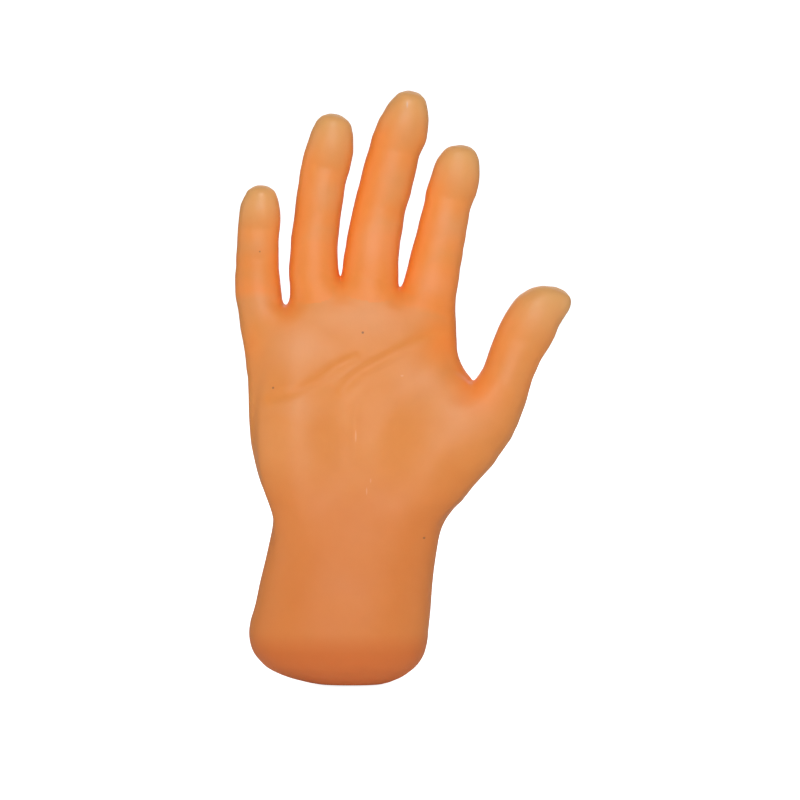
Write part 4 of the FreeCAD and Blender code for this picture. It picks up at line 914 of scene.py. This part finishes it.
def skin_material():
    m = Material("glove_skin")
    place = m.coord()

    def channels(layer):
        colour = m.add("VertexColor", layer_name=layer).outputs["Color"]
        return m.add("SeparateColor", {0: colour}).outputs[:3]

    tip, glow, pad = channels("zones")
    wrist, crease, nail = channels("zones2")
    xyz = m.add("SeparateXYZ", {0: place})
    palm_side = m.math("LESS_THAN", xyz.outputs["Y"], 0.0)
    broad = m.noise(place, scale=28.0, detail=3.0, rough=0.55)
    base = m.mix(m.remap(broad, (0.35, 0.65), (0, 1)), BASE_A, BASE_B)
    # painted highlight on the finger and palm pads
    base = m.tint(base, pad, 0.75, PAD_HIGHLIGHT)
    # painted glow on the edges, webs and hinges
    base = m.tint(base, glow, 0.85, GLOW)
    # painted shade in the palm creases
    base = m.tint(base, crease, 0.45, CREASE_SHADE)
    # painted shade towards the bottom of the palm and the wrist
    base = m.tint(base, wrist, 0.8, WRIST_SHADE)
    # painted light: lighter towards the bottom edge of the wrist, on its shaded underside
    base = m.mix(m.remap(xyz.outputs["Z"], (0.015, 0.003), (0.0, 0.6)), base, WRIST_UNDERSIDE_LIGHT)
    base = m.tint(base, tip, 0.95, TIP)
    base = m.tint(base, nail, 0.8, NAIL)
    fine = m.noise(place, scale=190.0, detail=3.0, rough=0.6)
    grained = m.mix(1.0, base, GRAIN, "MULTIPLY")
    base = m.mix(m.remap(fine, (0.3, 0.7), (0.0, 0.10)), base, grained)
    speck = m.math("LESS_THAN", m.voronoi(place, scale=34.0), 0.012)
    base = m.tint(base, speck, 0.45, SPECK)
    for x, z, half_x, half_z, amount, colour in MARKS:
        half_x, half_z = half_x * MM, half_z * MM
        offset = m.add("Mapping", {"Vector": place,
                                   "Location": (-x * MM / half_x, 0, -z * MM / half_z),
                                   "Scale": (1 / half_x, 0, 1 / half_z)}).outputs[0]
        radius = m.add("VectorMath", {0: offset}, operation="LENGTH").outputs["Value"]
        base = m.tint(base, m.remap(radius, (0.5, 1.2), (amount, 0.0)), palm_side, colour)
    pores = m.noise(place, scale=1500.0, detail=2.0, rough=0.6)
    grain = m.noise(place, scale=420.0, detail=4.0, rough=0.6)
    height = m.math("ADD", m.math("MULTIPLY", pores, 0.35), grain)
    rough = m.remap(m.noise(place, scale=60.0, detail=3.0), (0.3, 0.7), (0.40, 0.52))
    for operation, mask, amount in (
            ("SUBTRACT", tip, 0.12), ("ADD", wrist, 0.10), ("SUBTRACT", nail, 0.14)):
        rough = m.math(operation, rough, m.math("MULTIPLY", mask, amount))
    # the painted glow also drives a faint emission, though the glove is no lamp
    return m.principled(
        Base_Color=base, Roughness=rough, Normal=m.bump(height, distance=0.00012, strength=0.35),
        Subsurface_Weight=0.12, Subsurface_Radius=(1.0, 0.42, 0.18), Subsurface_Scale=0.0016,
        Specular_IOR_Level=0.34, Emission_Color=(1.0, 0.20, 0.015),
        Emission_Strength=m.math("MULTIPLY", glow, 0.06))


def shades(colour, darker, lighter):
    return tuple(c * darker for c in colour), tuple(min(1, c * lighter) for c in colour)


def metal(name, colour, rough, stretch):
    m = Material(name)
    streak = m.noise(m.coord(stretch), scale=220.0, detail=4.0, rough=0.6)
    blotch = m.noise(m.coord(), scale=45.0, detail=3.0)
    base = m.mix(m.remap(streak, (0.3, 0.7), (0, 1)), *shades(colour, 0.88, 1.06))
    base = m.mix(m.remap(blotch, (0.45, 0.75), (0, 0.1)), base, (0.25, 0.24, 0.23))
    return m.principled(
        Base_Color=base, Metallic=1.0, Normal=m.bump(streak, distance=0.00003, strength=0.5),
        Roughness=m.remap(streak, (0.2, 0.8), (rough - 0.08, rough + 0.10)))


def polymer(name, colour, rough):
    m = Material(name)
    place = m.coord()
    grain = m.noise(place, scale=600.0, detail=3.0)
    broad = m.noise(place, scale=50.0, detail=3.0)
    return m.principled(
        Base_Color=m.mix(m.remap(broad, (0.3, 0.7), (0, 1)), *shades(colour, 0.92, 1.05)),
        Roughness=m.remap(grain, (0.2, 0.8), (rough - 0.07, rough + 0.07)),
        Normal=m.bump(grain, distance=0.00006, strength=0.5))


def foam(name, colour):
    m = Material(name)
    cells = m.voronoi(m.coord(), scale=900.0)
    dark = tuple(c * 0.6 for c in colour)
    return m.principled(
        Base_Color=m.mix(m.remap(cells, (0.0, 0.6), (0, 1)), dark, colour),
        Roughness=0.9, Normal=m.bump(cells, distance=0.0005, strength=0.7))


# ------------------------------------------------------------------ glove skin
verts, faces = build_surface(SKIN_SPACING)
normals = vertex_normals(verts, faces)
labels = clean_labels(label_faces(verts, faces), faces, len(verts))
faces, labels = open_mouth(verts, faces, labels)
masks = colour_masks(verts)
skin = skin_material()


def skin_piece(label, name, nodes):
    """One piece of skin, in place of the CAD nodes named."""
    obj = wall_piece(name, verts, normals, faces[labels == label], masks, skin)
    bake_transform(obj)
    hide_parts(*nodes)


skin_piece(PALM_LABEL, "glove_palm_skin",
           ["glove_palm", "glove_thenar"])
for level, (piece, node, *parts) in enumerate(SEGMENTS):
    for i, finger in enumerate(FINGERS):
        # start and end lie on the straight axis
        end, start = (DIGITS[finger].axis_point(along) for along in ZONES[finger][level])
        skin_piece(segment_label(level, i), f"glove_{piece}_skin_{finger}",
                   [f"glove_{node}_{finger}"])
end, start = (THUMB.axis_point(along, float(THUMB.middle_y(along))) for along in THUMB_ZONE)
skin_piece(THUMB_LABEL, "glove_tip_skin_thumb",
           ["glove_tip_thumb"])

# ------------------------------------------------------------------ foam pads inside the palm
foam_mat = foam("foam_pad", (0.80, 0.66, 0.42))


def foam_piece(name, node, side, inset, top):
    """Foam beyond inset on one side (-1 the palm, 1 the back), clear of the thumb's fold."""
    low = np.array(FOAM_LOW)
    x, y, z = np.meshgrid(*grid_axes(low, FOAM_HIGH, FOAM_SPACING), indexing="ij")
    fold = (x - FOLD_POINT[0]) * FOLD_NORMAL[0] + (z - FOLD_POINT[1]) * FOLD_NORMAL[1] + 12.0
    cut = np.maximum.reduce([inset - side * y, FOAM_BOTTOM - z, z - top, fold])
    field = smooth_max(hand_field(x, y, z) + FOAM_SINK, cut, 4.0)
    points, quads = surface_nets(field, low, FOAM_SPACING)
    points = relax(points, quads, rounds=2, amount=0.4)
    obj = smooth_object(name, (points * MM).tolist(), quads.tolist(), foam_mat)
    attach(obj, "palm")
    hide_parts(node)


foam_piece("palm_pad_foam", "palm_pad", side=-1, inset=9.6, top=145.0)
foam_piece("back_pad_foam", "back_pad", side=1, inset=6.8, top=149.0)

# ------------------------------------------------------------------ materials of the CAD parts
MATERIALS = {
    "hub_aluminium": metal("hub_aluminium", (0.72, 0.73, 0.75), rough=0.32, stretch=(1, 1, 60)),
    "frame_aluminium": metal("frame_aluminium", (0.66, 0.67, 0.69), rough=0.38,
                             stretch=(1, 1, 30)),
    "bracket_steel": metal("bracket_steel", (0.56, 0.56, 0.58), rough=0.30, stretch=(1, 1, 40)),
    "pin_steel": metal("pin_steel", (0.70, 0.70, 0.72), rough=0.20, stretch=(40, 40, 1)),
    "link_nylon": polymer("link_nylon", (0.74, 0.60, 0.44), rough=0.45),
    "washer_plastic": polymer("washer_plastic", (0.035, 0.035, 0.038), rough=0.5),
    "foam_pad": foam_mat,
    "glove_skin": skin,
}
for subpart in frame["record"]["subparts"]:
    slots = frame["nodes"][subpart["node"]].data.materials
    slots.clear()
    slots.append(MATERIALS[subpart["material_slot"]])

# ------------------------------------------------------------------ backdrop and world, in metres
scene = bpy.context.scene
floor_z = cad_box[0][2] - 0.0008


def backdrop_material():
    """White that glows for the camera only, so that it doesn't wash out the edges."""
    m = Material("studio_white")
    seen = m.add("LightPath").outputs["Is Camera Ray"]
    glow = m.add("Emission", {"Color": (1, 1, 1), "Strength": m.math("MULTIPLY", seen, 0.92)})
    matt = m.add("BsdfDiffuse", {"Color": (0.8, 0.8, 0.8)})
    both = m.add("AddShader", {0: glow.outputs[0], 1: matt.outputs[0]})
    m.put(m.out.inputs[0], both.outputs[0])
    return m.mat


def build_backdrop():
    """A floor that sweeps up into a wall behind the hand."""
    radius, bend_y = 0.7, 1.2
    bend = [(bend_y + radius * math.sin(t), radius - radius * math.cos(t))
            for t in np.linspace(0, math.pi / 2, 14)]
    profile = [(-2.6, 0.0)] + bend + [(1.9, 3.2)]
    points = [(x, y, floor_z + z) for y, z in profile for x in (-4.0, 4.0)]
    quads = [(2 * i - 2, 2 * i - 1, 2 * i + 1, 2 * i) for i in range(1, len(profile))]
    smooth_object("backdrop", points, quads, backdrop_material())


def build_world():
    """White to the camera, dimmer as a light."""
    world = bpy.data.worlds.new("studio")
    scene.world = world
    world.use_nodes = True
    nodes, links = world.node_tree.nodes, world.node_tree.links
    background = nodes["Background"]
    background.inputs["Color"].default_value = (1, 1, 1, 1)
    path = nodes.new("ShaderNodeLightPath")
    strength = nodes.new("ShaderNodeMapRange")
    strength.inputs["To Min"].default_value = 0.22
    strength.inputs["To Max"].default_value = 1.0
    links.new(path.outputs["Is Camera Ray"], strength.inputs["Value"])
    links.new(strength.outputs[0], background.inputs["Strength"])


build_backdrop()
build_world()

# ------------------------------------------------------------------ lights and camera
# Square area lights: name, place, height of the point they face, size, power in watts.
LIGHTS = [
    ("key", (0.10, -1.00, 1.00), 0.13, 0.55, 1.0),
    ("glint", (0.0, -1.10, 0.78), 0.13, 0.10, 3.0),
    ("front", (0.0, -1.7, 0.35), 0.12, 1.5, 2.7),
    ("fill_left", (-1.3, -0.35, 0.25), 0.13, 0.9, 3.2),
    ("fill_right", (1.3, -0.35, 0.25), 0.13, 0.9, 2.6),
    ("low", (0.0, -1.15, floor_z + 0.04), 0.02, 0.5, 6.2),
    ("back", (0.1, 1.1, 0.95), 0.13, 1.7, 9.0),
]
for name, place, target_z, size, power in LIGHTS:
    light = bpy.data.lights.new(name, "AREA")
    light.shape = "RECTANGLE"
    light.size = light.size_y = size
    light.energy = power
    lamp = bpy.data.objects.new(name, light)
    scene.collection.objects.link(lamp)
    lamp.location = place
    aim = Vector((0.02, 0, target_z)) - Vector(place)
    lamp.rotation_euler = aim.to_track_quat("-Z", "Y").to_euler()

camera_data = bpy.data.cameras.new("camera")
camera_data.lens = 135
camera_data.sensor_width = 36
camera_data.clip_end = 20
camera = bpy.data.objects.new("camera", camera_data)
scene.collection.objects.link(camera)
camera.location = (0.0245, -1.2935, 0.1224)
camera.rotation_euler = (math.radians(90), 0, 0)
scene.camera = camera
scene.view_settings.view_transform = "Standard"
scene.view_settings.look = "None"
scene.view_settings.exposure = 0
scene.view_settings.gamma = 1
